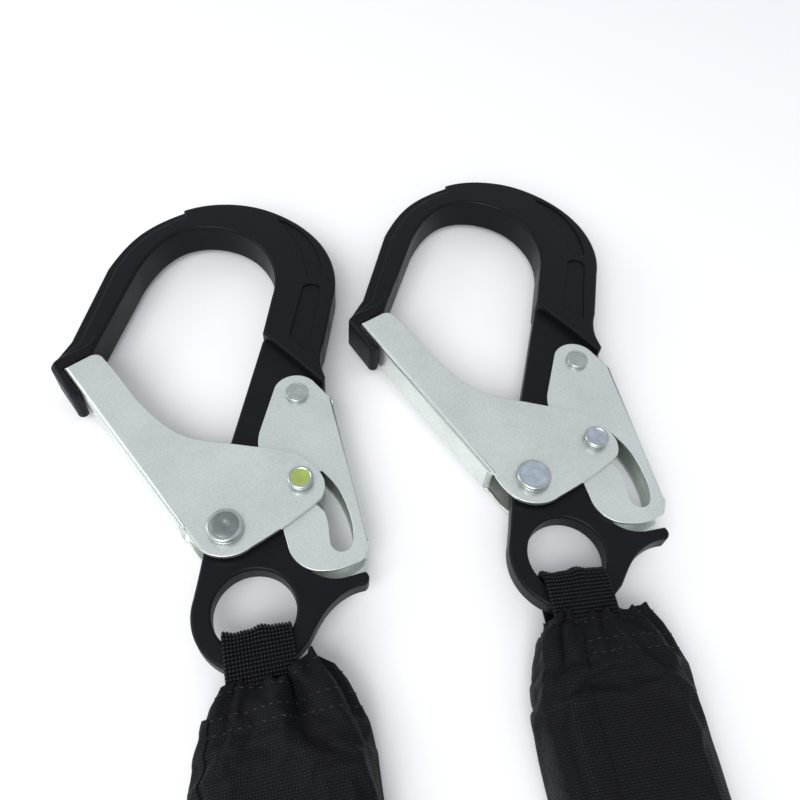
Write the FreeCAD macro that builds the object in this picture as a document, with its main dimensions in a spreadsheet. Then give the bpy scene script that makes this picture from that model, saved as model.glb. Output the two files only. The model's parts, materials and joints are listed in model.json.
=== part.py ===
import FreeCAD, Part
import math
import os
import Sketcher
from FreeCAD import Placement, Rotation, Vector

# A twin-leg shock absorbing lanyard, lying flat on the plane z = 0, in millimetres.
# Each leg is a scaffold hook, a webbing loop through its eye, a fabric cover with the tear webbing
# inside, and a strap to the harness connector that both legs share.
# Three frames are used. Hook frame: origin at the eye's centre, +Y to the crown, z = 0 at mid-thickness.
# Leg frame: origin under the eye, -Y along the cover. Connector frame: origin at its bar, -Y to its bow.

SIZES = [
    # the hook's body
    ("bow_thick", 17.0), ("band_thick", 15.0), ("spine_thick", 8.6), ("eye_radius", 15.5),
    ("ring_radius", 22.9), ("recess_depth", 1.2), ("hook_height", 12.0),
    # pivots: place in the hook frame and radius
    ("gate_pivot_x", -8.2), ("gate_pivot_y", 31.9), ("gate_pivot_radius", 4.0),
    ("latch_x", 22.2), ("latch_y", 48.2), ("latch_radius", 2.0),
    ("lever_pivot_x", 24.9), ("lever_pivot_y", 92.1), ("lever_pivot_radius", 3.0),
    ("running_gap", 0.05),
    # the two sheet channels, over their outer faces
    ("gate_wide", 16.4), ("gate_sheet", 2.0), ("lever_wide", 11.8), ("lever_sheet", 1.4),
    # gate and lever turn together, lever by this share of the gate's turn
    ("gate_open_angle", 38.0), ("lever_share", 0.27),
    # rivets
    ("gate_head_radius", 7.2), ("gate_head_reach", 12.0), ("latch_head_radius", 5.2),
    ("latch_head_reach", 11.6), ("lever_head_radius", 4.9), ("lever_head_reach", 8.3),
    # torsion springs
    ("gate_coil_radius", 5.6), ("gate_wire_radius", 0.8),
    ("lever_coil_radius", 4.3), ("lever_wire_radius", 0.55),
    # soft parts of a leg
    ("webbing_thick", 1.8), ("eye_webbing_wide", 24.0), ("eye_webbing_gap", 7.4), ("eye_webbing_turn", -15.6),
    ("strap_wide", 20.0), ("cover_middle", 4.0),
    ("cover_height", 13.0), ("cover_sheet", 1.2), ("pack_wide", 40.0), ("pack_high", 18.0),
    ("pack_start", 48.0), ("pack_end", 150.0), ("cover_start", 27.0), ("cover_end", 172.0),
    # the harness connector
    ("rod_radius", 5.5), ("connector_height", 8.3), ("bow_radius", 32.0), ("corner_radius", 9.0),
    ("nose_reach", 84.0), ("bow_reach", 91.0), ("hinge_reach", 16.0), ("connector_gate_radius", 5.0),
    ("sleeve_radius", 8.3), ("sleeve_long", 28.0), ("connector_pin_radius", 1.8), ("nose_radius", 4.0),
    ("strap_spacing", 24.6),
    # where the legs and the connector lie
    ("left_x", -51.84), ("left_y", 150.6), ("left_turn", 18.0),
    ("right_x", 64.26), ("right_y", 185.4), ("right_turn", 13.4), ("hook_turn", -3.05),
    ("connector_x", 104.16), ("connector_y", -270.4), ("connector_turn", 10.5),
]
VALUE = dict(SIZES)

doc = FreeCAD.newDocument("Lanyard")
sheet = doc.addObject("Spreadsheet::Sheet", "Sizes")
for row, (alias, value) in enumerate(SIZES, start=1):
    sheet.set("A%d" % row, alias)
    sheet.set("B%d" % row, str(value))
    sheet.setAlias("B%d" % row, alias)
doc.recompute()

PARTS = []


# ---------------------------------------------------------------- helpers

def turned(x, y, z, angle):
    """A placement: moved to (x, y, z) and turned about Z."""
    return Placement(Vector(x, y, z), Rotation(Vector(0, 0, 1), angle))


def keep(item, label):
    """Names a finished piece and puts it on the list of nodes."""
    item.Label = label
    PARTS.append(item)
    return item


def bind(item, name, expression):
    item.setExpression(name, expression)


def new_body(label, place):
    body = doc.addObject("PartDesign::Body", "Body_" + label)
    body.Placement = place
    return keep(body, label)


def new_sketch(body, role, height=0.0):
    """An empty sketch on one of the body's own planes, moved along its normal by height."""
    plane = [item for item in body.Origin.OriginFeatures if item.Role == role][0]
    sketch = body.newObject("Sketcher::SketchObject", "Sketch")
    sketch.AttachmentSupport = [(plane, "")]
    sketch.MapMode = "FlatFace"
    sketch.AttachmentOffset = Placement(Vector(0, 0, height), Rotation())
    return sketch


def curve_of(points):
    """Two points give a line, three an arc, more a smooth curve."""
    knots = [Vector(x, y, 0) for x, y in points]
    if len(knots) == 2:
        return Part.LineSegment(knots[0], knots[1])
    if len(knots) == 3:
        return Part.Arc(knots[0], knots[1], knots[2])
    curve = Part.BSplineCurve()
    curve.interpolate(knots)
    return curve


def outline(body, role, pieces, height=0.0):
    """A closed sketch. Each piece starts where the one before it ends, and the last one closes it."""
    sketch = new_sketch(body, role, height)
    for index, piece in enumerate(pieces):
        start_of_next = pieces[(index + 1) % len(pieces)][0]
        sketch.addGeometry(curve_of(piece + [start_of_next]), False)
    return sketch


def circle(body, role, middle, radius_alias, height=0.0, extra="0"):
    """A sketch with one circle, whose radius is bound to the sheet."""
    sketch = new_sketch(body, role, height)
    sketch.addGeometry(Part.Circle(Vector(middle[0], middle[1], 0), Vector(0, 0, 1), 1.0), False)
    sketch.addConstraint(Sketcher.Constraint("Radius", 0, VALUE[radius_alias]))
    bind(sketch, "Constraints[0]", "Sizes.%s + %s" % (radius_alias, extra))
    return sketch


def pad(body, sketch, length, symmetric=True):
    """Adds the sketch, extruded to a length bound to the sheet."""
    feature = body.newObject("PartDesign::Pad", "Pad")
    feature.Profile = sketch
    feature.SideType = "Symmetric" if symmetric else "One side"
    bind(feature, "Length", length)
    return feature


def pocket(body, sketch, length, symmetric=True, upward=False):
    """Cuts the sketch's extrusion away and checks that it removed something."""
    doc.recompute()
    before = body.Shape.Volume
    feature = body.newObject("PartDesign::Pocket", "Pocket")
    feature.Profile = sketch
    feature.SideType = "Symmetric" if symmetric else "One side"
    feature.Reversed = upward
    bind(feature, "Length", length)
    doc.recompute()
    if body.Shape.Volume > before - 0.01:
        raise RuntimeError("a pocket in %s cut nothing" % body.Label)
    return feature


def revolve(body, points, role="XZ_Plane"):
    """A turned piece: the half section (radius, height), turned about Z."""
    sketch = outline(body, role, [[point] for point in points])
    feature = body.newObject("PartDesign::Revolution", "Revolution")
    feature.Profile = sketch
    feature.ReferenceAxis = (sketch, ["V_Axis"])
    feature.Angle = 360.0
    return feature


def mirrored(points):
    """A half section's points, then the same ones below the middle, in reverse."""
    return points + [(x, -z) for x, z in reversed(points)]


# ---------------------------------------------------------------- the hook's outlines, in its frame

NOSE_ARC = 107.0
PIVOT = (VALUE["gate_pivot_x"], VALUE["gate_pivot_y"])
LATCH = (VALUE["latch_x"], VALUE["latch_y"])
LEVER_PIVOT = (VALUE["lever_pivot_x"], VALUE["lever_pivot_y"])
RING = VALUE["ring_radius"]


def around(middle, radius, angle):
    turn = math.radians(angle)
    return (middle[0] + radius * math.cos(turn), middle[1] + radius * math.sin(turn))


def bow_pieces(inset):
    """The thick bow, from the step above the lever round to the beak. inset pulls its arm's outer edge in."""
    arm = [(-20.9, 211.1), (-32.2, 205.4), (-41.4, 198.4), (-49.5, 188.4), (-56.6, 175.6)]
    arm_end = (-70.6, 132.6)
    if inset:
        middle = (-10.7, 164.0)
        pulled = []
        for x, y in arm:
            reach = math.hypot(x - middle[0], y - middle[1])
            share = (reach - inset) / reach
            pulled.append((middle[0] + (x - middle[0]) * share, middle[1] + (y - middle[1]) * share))
        arm = pulled
        arm_end = (-70.6 + inset, 132.6 - 0.3 * inset)
    return [
        [(13.0, 126.8)],
        [(19.0, 148.6), (20.9, 156.8), (20.9, 167.2), (18.0, 177.6), (11.4, 188.2), (1.2, 195.8),
         (-10.2, 198.9), (-21.6, 197.2), (-31.0, 190.6), (-37.4, 182.4)],
        [(-42.6, 173.0)],
        [around(PIVOT, NOSE_ARC, 119.7), around(PIVOT, NOSE_ARC, 123.5)],
        [around(PIVOT, NOSE_ARC, 127.3)],
        [(-65.3, 103.6), (-67.6, 101.6)],
        [(-70.2, 103.6)],
        [(-78.0, 117.8), (-78.2, 119.4)],
        [(-77.6, 121.0)],
        [arm_end],
        list(reversed(arm))[:-1],
        [arm[0]],
        [(-20.4, 212.6), (-9.0, 215.3), (3.0, 214.9), (15.0, 211.6), (27.7, 204.0), (38.6, 193.2),
         (46.2, 180.4), (49.9, 166.5), (50.0, 155.6)],
        [(47.6, 145.0)],
        [(40.0, 118.6), (37.4, 110.8)],
        [(37.0, 104.0)],
        [(38.0, 98.8), (37.4, 97.4)],
        [(35.6, 97.4)],
    ]


SPINE = [
    [(17.2, 139.5)],
    [(-5.5, 69.8)],
    [(-15.0, 37.0), (-17.6, 24.0)],
    [(-21.6, 7.6), around((0, 0), RING, 225)],
    [around((0, 0), RING, 311)],
    [(18.6, -14.0), (21.6, -9.6), (25.4, -4.6), (30.0, -0.6), (35.4, 2.2)],
    [(41.6, 3.4), (43.4, 5.6)],
    [(42.4, 8.6)],
    [(35.0, 7.6), (27.6, 8.4)],
    [(22.6, 11.4), (18.9, 17.0)],
    [(15.4, 30.0), (14.6, 44.0)],
    [(17.0, 60.0)],
    [(24.0, 72.0)],
    [(33.4, 82.0), (36.6, 92.0)],
    [(37.0, 104.0)],
    [(34.0, 118.0)],
]

RECESS_CURVED = [
    [(26.4, 200.6), (32.5, 195.9), (39.1, 187.3), (43.1, 176.4), (44.5, 165.0)],
    [(44.2, 159.4), (42.9, 157.1)],
    [(40.4, 157.1)],
    [(38.0, 157.6), (36.6, 158.8)],
    [(36.4, 161.5), (35.9, 170.5), (34.6, 179.0), (32.2, 187.0), (29.4, 193.4)],
]
RECESS_SLANTED = [
    [(33.0, 149.6), (34.6, 153.0)],
    [(38.2, 154.2), (41.2, 152.9)],
    [(42.1, 149.8)],
    [(33.8, 117.2), (32.0, 114.8)],
    [(29.6, 115.8)],
    [(26.0, 121.4), (25.1, 123.2)],
    [(25.5, 125.4)],
]

GATE = [
    [(-72.5, 117.0)],
    [(-62.6, 122.7), (-59.4, 123.3)],
    [(-56.4, 120.9), (-49.0, 108.9), (-41.4, 95.8), (-34.2, 86.2), (-25.4, 77.6), (-16.5, 72.9), (-4.6, 69.6),
     (7.3, 66.2), (16.6, 63.5), (23.4, 59.8), (28.6, 53.8), (31.4, 47.6), (31.2, 43.4)],
    [(29.2, 39.6), (25.2, 36.8)],
    [(1.2, 23.0), (-7.4, 20.3)],
    [(-15.2, 22.4), (-20.0, 27.6)],
    [(-23.6, 35.0)],
    [(-25.5, 35.8)],
]
# all of the gate between its sheets but the web along its outer edge
GATE_HOLLOW = [
    [(-74.0, 124.6)],
    [(-23.2, 36.9)],
    [(-40.0, 36.9)],
    [(-40.0, 0.0)],
    [(60.0, 0.0)],
    [(60.0, 140.0)],
]

LEVER = [
    [(15.9, 97.4), (24.9, 102.4)],
    [(32.6, 98.6)],
    [(39.2, 88.0)],
    [(40.2, 86.0)],
    [(45.6, 20.4)],
    [(43.0, 13.6), (38.6, 11.4)],
    [(27.0, 10.2), (19.6, 13.0)],
    [(14.4, 22.6)],
    [(6.9, 66.0), (7.0, 72.6)],
    [(8.1, 76.4)],
]
LEVER_HOLLOW = [
    [(38.8, 87.2)],
    [(44.2, 20.4)],
    [(44.6, 0.0)],
    [(-10.0, 0.0)],
    [(-10.0, 120.0)],
    [(38.8, 120.0)],
]
# the lever's slot where it shows, below the gate's lobe
SLOT = [
    [(26.5, 53.0)],
    [(31.0, 53.0), (33.4, 49.6), (35.9, 45.3), (38.3, 38.5), (39.7, 31.4), (40.0, 25.3)],
    [(39.1, 20.2), (37.1, 17.6)],
    [(34.2, 17.0), (31.8, 18.4)],
    [(30.6, 21.8)],
    [(30.8, 28.6), (30.2, 34.0), (29.0, 39.0)],
]


def latch_track():
    """The latch pin's path as the turning lever sees it, as the outline of the slot that it needs."""
    half = VALUE["latch_radius"] + 0.45
    reach = math.hypot(LATCH[0] - PIVOT[0], LATCH[1] - PIVOT[1])
    start = math.degrees(math.atan2(LATCH[1] - PIVOT[1], LATCH[0] - PIVOT[0]))
    path = []
    steps = 6
    for step in range(steps + 1):
        opened = VALUE["gate_open_angle"] * step / steps
        x, y = around(PIVOT, reach, start - opened)
        back = math.radians(opened * VALUE["lever_share"])
        dx = x - LEVER_PIVOT[0]
        dy = y - LEVER_PIVOT[1]
        path.append((LEVER_PIVOT[0] + dx * math.cos(back) - dy * math.sin(back),
                     LEVER_PIVOT[1] + dx * math.sin(back) + dy * math.cos(back)))
    near = []
    far = []
    for index, (x, y) in enumerate(path):
        before = path[max(index - 1, 0)]
        after = path[min(index + 1, steps)]
        length = math.hypot(after[0] - before[0], after[1] - before[1])
        along = ((after[0] - before[0]) / length, (after[1] - before[1]) / length)
        near.append((x + along[1] * half, y - along[0] * half))
        far.append((x - along[1] * half, y + along[0] * half))
        if index == 0:
            cap_start = (x - along[0] * half, y - along[1] * half)
        if index == steps:
            cap_end = (x + along[0] * half, y + along[1] * half)
    return [near[:-1], [near[-1], cap_end], list(reversed(far))[:-1], [far[0], cap_start]]


# ---------------------------------------------------------------- the hook's pieces

def hook_body(label, place):
    body = new_body(label, place)
    pad(body, outline(body, "XY_Plane", bow_pieces(0.0)), "Sizes.band_thick")
    pad(body, outline(body, "XY_Plane", bow_pieces(3.5)), "Sizes.bow_thick")
    pad(body, outline(body, "XY_Plane", SPINE), "Sizes.spine_thick")
    pocket(body, circle(body, "XY_Plane", (0, 0), "eye_radius"), "Sizes.bow_thick")
    pocket(body, circle(body, "XY_Plane", PIVOT, "gate_pivot_radius", 0.0, "Sizes.running_gap"),
           "Sizes.bow_thick")
    pocket(body, circle(body, "XY_Plane", LEVER_PIVOT, "lever_pivot_radius"), "Sizes.bow_thick")
    half = VALUE["bow_thick"] / 2
    for pieces in (RECESS_CURVED, RECESS_SLANTED):
        pocket(body, outline(body, "XY_Plane", pieces, half), "Sizes.recess_depth", False)
        pocket(body, outline(body, "XY_Plane", pieces, -half), "Sizes.recess_depth", False, True)
    # seats for the two torsion springs, open towards the channel that each one presses
    coil = VALUE["gate_coil_radius"] + VALUE["gate_wire_radius"] + 0.6
    x, y = PIVOT
    seat = [[(x, y - coil), around(PIVOT, coil, 0)], [(x, y + coil)], [(x - 20.0, y + coil)],
            [(x - 20.0, y - 1.0)], [(x - coil, y - 1.0), around(PIVOT, coil, 225)]]
    pocket(body, outline(body, "XY_Plane", seat, VALUE["spine_thick"] / 2), "Sizes.spine_thick * 0.6", False)
    coil = VALUE["lever_coil_radius"] + VALUE["lever_wire_radius"] + 0.5
    x, y = LEVER_PIVOT
    seat = [[(x, y + coil), around(LEVER_PIVOT, coil, 180)], [(x, y - coil)], [(x + 16.0, y - coil)],
            [(x + 16.0, y - 1.0)], [(x + coil, y - 1.0), around(LEVER_PIVOT, coil, 40)]]
    pocket(body, outline(body, "XY_Plane", seat, VALUE["spine_thick"] / 2), "Sizes.spine_thick * 0.4", False)
    return body


def gate(label, place):
    body = new_body(label, place)
    pad(body, outline(body, "XY_Plane", GATE), "Sizes.gate_wide")
    pocket(body, outline(body, "XY_Plane", GATE_HOLLOW), "Sizes.gate_wide - 2 * Sizes.gate_sheet")
    pocket(body, circle(body, "XY_Plane", PIVOT, "gate_pivot_radius", 0.0, "Sizes.running_gap"),
           "Sizes.gate_wide")
    pocket(body, circle(body, "XY_Plane", LATCH, "latch_radius"), "Sizes.gate_wide")
    return body


def lock_lever(label, place):
    body = new_body(label, place)
    pad(body, outline(body, "XY_Plane", LEVER), "Sizes.lever_wide")
    pocket(body, outline(body, "XY_Plane", LEVER_HOLLOW), "Sizes.lever_wide - 2 * Sizes.lever_sheet")
    pocket(body, circle(body, "XY_Plane", LEVER_PIVOT, "lever_pivot_radius", 0.0, "Sizes.running_gap"),
           "Sizes.lever_wide")
    pocket(body, outline(body, "XY_Plane", SLOT), "Sizes.lever_wide")
    pocket(body, outline(body, "XY_Plane", latch_track()), "Sizes.lever_wide")
    return body


def rivet(label, place, middle, kind, sheet_face):
    """A riveted pin with two low domed heads, standing on the faces that sheet_face names."""
    head = VALUE[kind + "_head_radius"]
    reach = VALUE[kind + "_head_reach"]
    shank = VALUE[kind + "_radius" if kind == "latch" else kind + "_pivot_radius"]
    body = new_body(label, place.multiply(turned(middle[0], middle[1], 0, 0)))
    rim = (reach - sheet_face) * 0.55
    revolve(body, mirrored([(0.0, reach), (head - 1.6, reach), (head - 0.5, reach - 0.5), (head, reach - rim),
                            (head, sheet_face), (shank, sheet_face)]))
    return body


def torsion_spring(label, place, middle, kind, tail, heights):
    """Touching turns of wire round a pivot, with one tail that reaches along X to the channel."""
    turns = []
    for height in heights:
        torus = doc.addObject("Part::Torus", "Turn")
        bind(torus, "Radius1", "Sizes.%s_coil_radius" % kind)
        bind(torus, "Radius2", "Sizes.%s_wire_radius" % kind)
        torus.Placement = turned(middle[0], middle[1], height, 0)
        turns.append(torus)
    end = doc.addObject("Part::Cylinder", "Tail")
    bind(end, "Radius", "Sizes.%s_wire_radius" % kind)
    start = Vector(middle[0], tail[1], heights[-1])
    reach = Vector(tail[0], tail[1], heights[-1]).sub(start)
    end.Height = reach.Length
    end.Placement = Placement(start, Rotation(Vector(0, 0, 1), reach))
    spring = doc.addObject("Part::MultiFuse", "Spring")
    spring.Shapes = turns + [end]
    spring.Placement = place
    return keep(spring, label)


# ---------------------------------------------------------------- soft parts of a leg, in the leg frame

def eye_webbing(label, place):
    """A band bent round the ring of the eye, its two ends one on the other inside the cover."""
    thick = VALUE["webbing_thick"]
    height = VALUE["hook_height"]
    inner = VALUE["eye_webbing_gap"]
    outer = inner + thick
    stack = VALUE["cover_height"]
    turn = VALUE["eye_webbing_turn"]
    pinch = -22.4
    body = new_body(label, place)
    section = [
        [(turn, height + outer), (turn + outer, height)],
        [(turn, height - outer)],
        [(pinch, height - outer)],
        [(-37.0, stack - thick)],
        [(-VALUE["pack_start"], stack - thick)],
        [(-VALUE["pack_start"], stack + thick)],
        [(-37.0, stack + thick)],
        [(pinch, height + outer)],
    ]
    pad(body, outline(body, "YZ_Plane", section), "Sizes.eye_webbing_wide")
    hollow = [
        [(turn, height + inner), (turn + inner, height)],
        [(turn, height - inner)],
        [(pinch - 0.4, height - inner)],
        [(-36.0, stack)],
        [(pinch - 0.4, height + inner)],
    ]
    pocket(body, outline(body, "YZ_Plane", hollow), "Sizes.eye_webbing_wide")
    return body


def absorber_pack(label, place):
    body = new_body(label, place)
    half = VALUE["pack_wide"] / 2
    rise = VALUE["pack_high"] / 2
    soft = 5.0
    middle = VALUE["cover_middle"]
    height = VALUE["cover_height"]
    corners = []
    for side_x, side_z, start in ((1, 1, 0), (-1, 1, 90), (-1, -1, 180), (1, -1, 270)):
        centre = (middle + side_x * (half - soft), height + side_z * (rise - soft))
        corners.append([around(centre, soft, start), around(centre, soft, start + 45)])
        corners.append([around(centre, soft, start + 90)])
    # the XZ plane's normal is -Y, so the sketch moves along it to the pack's start
    sketch = outline(body, "XZ_Plane", corners, VALUE["pack_start"])
    pad(body, sketch, "Sizes.pack_end - Sizes.pack_start", False)
    return body


# the cover's rings: distance from its mouth, half width, half height
COVER_SECTIONS = [
    (0.0, 24.0, 12.8), (9.0, 27.5, 12.9), (26.0, 31.0, 13.0), (110.0, 31.0, 13.0), (145.0, 26.0, 11.0),
]


def cover_loft(grow):
    """The cover's outer form as a solid, grown by an amount on every side."""
    rings = []
    for start, half, rise in COVER_SECTIONS:
        ring = doc.addObject("Part::Ellipse", "Ring")
        bind(ring, "MajorRadius", "%f + (%f)" % (half, grow))
        bind(ring, "MinorRadius", "%f + (%f)" % (rise, grow))
        spot = Vector(VALUE["cover_middle"], -VALUE["cover_start"] - start, VALUE["cover_height"])
        ring.Placement = Placement(spot, Rotation(Vector(1, 0, 0), 90))
        rings.append(ring)
    loft = doc.addObject("Part::Loft", "Loft")
    loft.Sections = rings
    loft.Solid = True
    loft.Ruled = True
    return loft


def cut(base, tool):
    result = doc.addObject("Part::Cut", "Cut")
    result.Base = base
    result.Tool = tool
    return result


def within(base, low, high):
    """The part of base inside a box."""
    box = doc.addObject("Part::Box", "Box")
    box.Placement = Placement(Vector(*low), Rotation())
    box.Length = high[0] - low[0]
    box.Width = high[1] - low[1]
    box.Height = high[2] - low[2]
    result = doc.addObject("Part::Common", "Common")
    result.Base = base
    result.Tool = box
    return result


def pack_cover(label, place):
    cover = cut(cover_loft(0.0), cover_loft(-VALUE["cover_sheet"]))
    cover.Placement = place
    return keep(cover, label)


def mouth_elastic(label, place):
    sheet_in = -VALUE["cover_sheet"]
    shell = cut(cover_loft(sheet_in), cover_loft(sheet_in - 1.4))
    start = -VALUE["cover_start"] - 11.0
    band = within(shell, (-40.0, start - 3.0, -5.0), (50.0, start, 35.0))
    band.Placement = place
    return keep(band, label)


def closure_strip(label, place):
    shell = cut(cover_loft(0.9), cover_loft(0.0))
    low = (-32.0, -VALUE["cover_end"] + 4.0, 14.0)
    strip = within(shell, low, (-8.0, -VALUE["cover_start"] - 10.0, 30.0))
    strip.Placement = place
    return keep(strip, label)


def leg_strap(label, place, long):
    """A band bent round the connector's bar, its two plies one on the other from there to the pack."""
    thick = VALUE["webbing_thick"]
    height = VALUE["connector_height"]
    inner = VALUE["rod_radius"] + 0.9
    outer = inner + thick
    stack = VALUE["cover_height"] - 2.0
    slack = 1.7
    body = new_body(label, place)
    section = [
        [(-slack, height + outer), (-slack - outer, height)],
        [(-slack, height - outer)],
        [(12.0, height - outer)],
        [(30.0, stack - thick)],
        [(long, stack - thick)],
        [(long, stack + thick)],
        [(30.0, stack + thick)],
        [(12.0, height + outer)],
    ]
    pad(body, outline(body, "YZ_Plane", section), "Sizes.strap_wide")
    hollow = [
        [(-slack, height + inner), (-slack - inner, height)],
        [(-slack, height - inner)],
        [(11.6, height - inner)],
        [(28.0, stack)],
        [(11.6, height + inner)],
    ]
    pocket(body, outline(body, "YZ_Plane", hollow), "Sizes.strap_wide")
    return body


def strap_keeper(label, place):
    """A flat elastic loop round both plies of the strap."""
    body = new_body(label, place)
    stack = VALUE["cover_height"] - 2.0
    width = VALUE["strap_wide"] / 2
    thick = VALUE["webbing_thick"]
    for grow, cutting in ((1.6, False), (0.1, True)):
        frame = [[(-width - grow, stack - thick - grow)], [(width + grow, stack - thick - grow)],
                 [(width + grow, stack + thick + grow)], [(-width - grow, stack + thick + grow)]]
        sketch = outline(body, "XZ_Plane", frame, -64.0)
        if cutting:
            pocket(body, sketch, "Sizes.strap_wide * 0.6", False, True)
        else:
            pad(body, sketch, "Sizes.strap_wide * 0.6", False)
    return body


# ---------------------------------------------------------------- the harness connector, in its frame

def connector_body(label, place):
    """A bent rod: the straps' bar, a straight back, a round bow, a turned-down nose and the gate's tongue."""
    bow = VALUE["bow_radius"]
    corner = VALUE["corner_radius"]
    reach = VALUE["bow_reach"]
    hinge = VALUE["hinge_reach"]
    body = new_body(label, place)
    path = new_sketch(body, "XY_Plane")
    inside = bow - corner
    for points in (
        [(bow, -corner), around((inside, -corner), corner, 45), (inside, 0.0)],
        [(inside, 0.0), (-inside, 0.0)],
        [(-inside, 0.0), around((-inside, -corner), corner, 135), (-bow, -corner)],
        [(-bow, -corner), (-bow, -reach)],
        [(-bow, -reach), (0.0, -reach - bow), (bow, -reach)],
    ):
        path.addGeometry(curve_of(points), False)
    rod = circle(body, "XZ_Plane", (bow, 0.0), "rod_radius", corner)
    pipe = body.newObject("PartDesign::AdditivePipe", "Pipe")
    pipe.Profile = rod
    pipe.Spine = (path, [])
    nose = circle(body, "XZ_Plane", (bow, 0.0), "nose_radius", VALUE["nose_reach"])
    pad(body, nose, "Sizes.bow_reach - Sizes.nose_reach + 0.5", False)
    tongue = [[(bow - 4.2, -corner + 2.0)], [(bow - 4.2, -hinge), (bow, -hinge - 4.2)], [(bow + 4.2, -hinge)],
              [(bow + 4.2, -corner + 2.0)]]
    pad(body, outline(body, "XY_Plane", tongue), "Sizes.rod_radius * 0.8")
    pocket(body, circle(body, "XY_Plane", (bow, -hinge), "connector_pin_radius"), "Sizes.rod_radius * 4")
    return body


def connector_gate(label, place):
    """A round bar with a fork at the hinge and a bore for its plunger."""
    bow = VALUE["bow_radius"]
    hinge = VALUE["hinge_reach"]
    radius = VALUE["connector_gate_radius"]
    body = new_body(label, place)
    round_end = hinge - radius
    pad(body, circle(body, "XZ_Plane", (bow, 0.0), "connector_gate_radius", hinge),
        "Sizes.nose_reach - Sizes.hinge_reach - 1.0", False)
    pad(body, circle(body, "XY_Plane", (bow, -hinge), "connector_gate_radius"),
        "Sizes.connector_gate_radius * 1.7")
    slot = [[(bow - 9.0, -round_end + 1.0)], [(bow - 9.0, -hinge - 5.0)], [(bow + 9.0, -hinge - 5.0)],
            [(bow + 9.0, -round_end + 1.0)]]
    pocket(body, outline(body, "XY_Plane", slot), "Sizes.rod_radius * 0.8 + 0.5")
    pocket(body, circle(body, "XY_Plane", (bow, -hinge), "connector_pin_radius", 0.0, "Sizes.running_gap"),
           "Sizes.rod_radius * 4")
    bore = circle(body, "XZ_Plane", (bow, 0.0), "connector_pin_radius", hinge + 4.0, "0.4")
    pocket(body, bore, "20", False, True)
    return body


def turned_pin(label, place, middle, radius_alias, length):
    body = new_body(label, place)
    pad(body, circle(body, "XY_Plane", middle, radius_alias), length)
    return body


def along_gate(label, place, radius_alias, extra, start, length, bore=None):
    """A round piece on the connector gate's axis."""
    bow = VALUE["bow_radius"]
    body = new_body(label, place)
    pad(body, circle(body, "XZ_Plane", (bow, 0.0), radius_alias, start, extra), length, False)
    if bore:
        hole = circle(body, "XZ_Plane", (bow, 0.0), bore, start, "Sizes.running_gap")
        pocket(body, hole, length, False, True)
    return body


# ---------------------------------------------------------------- the assembly

connector_place = turned(VALUE["connector_x"], VALUE["connector_y"], 0, VALUE["connector_turn"])
rod_place = connector_place.multiply(turned(0, 0, VALUE["connector_height"], 0))

for side, hand in (("left", -1), ("right", 1)):
    leg = turned(VALUE[side + "_x"], VALUE[side + "_y"], 0, VALUE[side + "_turn"])
    hook = leg.multiply(turned(0, 0, VALUE["hook_height"], VALUE["hook_turn"]))
    hook_body(side + "_hook_body", hook)
    gate(side + "_gate", hook)
    lock_lever(side + "_lock_lever", hook)
    rivet(side + "_gate_rivet", hook, PIVOT, "gate", VALUE["gate_wide"] / 2 + 0.1)
    rivet(side + "_latch_pin", hook, LATCH, "latch", VALUE["gate_wide"] / 2)
    rivet(side + "_lever_rivet", hook, LEVER_PIVOT, "lever", VALUE["lever_wide"] / 2 + 0.1)
    torsion_spring(side + "_gate_spring", hook, PIVOT, "gate", (-22.4, PIVOT[1] + VALUE["gate_coil_radius"]),
                   (0.2, 1.7, 3.2))
    torsion_spring(side + "_lever_spring", hook, LEVER_PIVOT, "lever",
                   (38.2, LEVER_PIVOT[1] - VALUE["lever_coil_radius"]), (2.6, 3.6))
    eye_webbing(side + "_eye_webbing", leg)
    absorber_pack(side + "_absorber_pack", leg)
    pack_cover(side + "_pack_cover", leg)
    mouth_elastic(side + "_mouth_elastic", leg)
    closure_strip(side + "_closure_strip", leg)
    anchor = connector_place.multVec(Vector(hand * VALUE["strap_spacing"] / 2, 0, 0))
    pack_end = leg.multVec(Vector(VALUE["cover_middle"], -VALUE["pack_end"], 0))
    span = pack_end.sub(anchor)
    strap = turned(anchor.x, anchor.y, 0, math.degrees(math.atan2(-span.x, span.y)))
    leg_strap(side + "_leg_strap", strap, span.Length)
    strap_keeper(side + "_strap_keeper", strap)

connector_body("connector_body", rod_place)
connector_gate("connector_gate", rod_place)
hinge_spot = (VALUE["bow_radius"], -VALUE["hinge_reach"])
turned_pin("connector_gate_pin", rod_place, hinge_spot, "connector_pin_radius",
           "Sizes.connector_gate_radius * 1.6")
along_gate("connector_screw_sleeve", rod_place, "sleeve_radius", "0", 50.0, "Sizes.sleeve_long",
           "connector_gate_radius")
along_gate("connector_plunger", rod_place, "connector_pin_radius", "0.3", 20.6, "5")
along_gate("connector_gate_spring", rod_place, "connector_pin_radius", "0.2", 25.7, "10")

doc.recompute()
for item in doc.Objects:
    if "Invalid" in item.State or "Error" in item.State:
        raise RuntimeError("%s failed: %s" % (item.Label, item.State))
os.makedirs("parts", exist_ok=True)
for item in PARTS:
    shape = item.Shape
    if shape.isNull() or not shape.isValid():
        raise RuntimeError("%s has no valid shape" % item.Label)
    shape.exportStep("parts/%s.step" % item.Label)
    box = shape.BoundBox
    print("%-26s solids %d  volume %9.1f mm3  long %6.1f x %6.1f x %6.1f" % (
        item.Label, len(shape.Solids), shape.Volume, box.XLength, box.YLength, box.ZLength))
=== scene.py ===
import json
import math

import bmesh
import bpy
import numpy as np
from bpy.props import FloatProperty, FloatVectorProperty, PointerProperty
from bpy.types import Operator, Panel, PropertyGroup
from mathutils import Matrix, Vector
from mathutils.geometry import delaunay_2d_cdt


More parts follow.
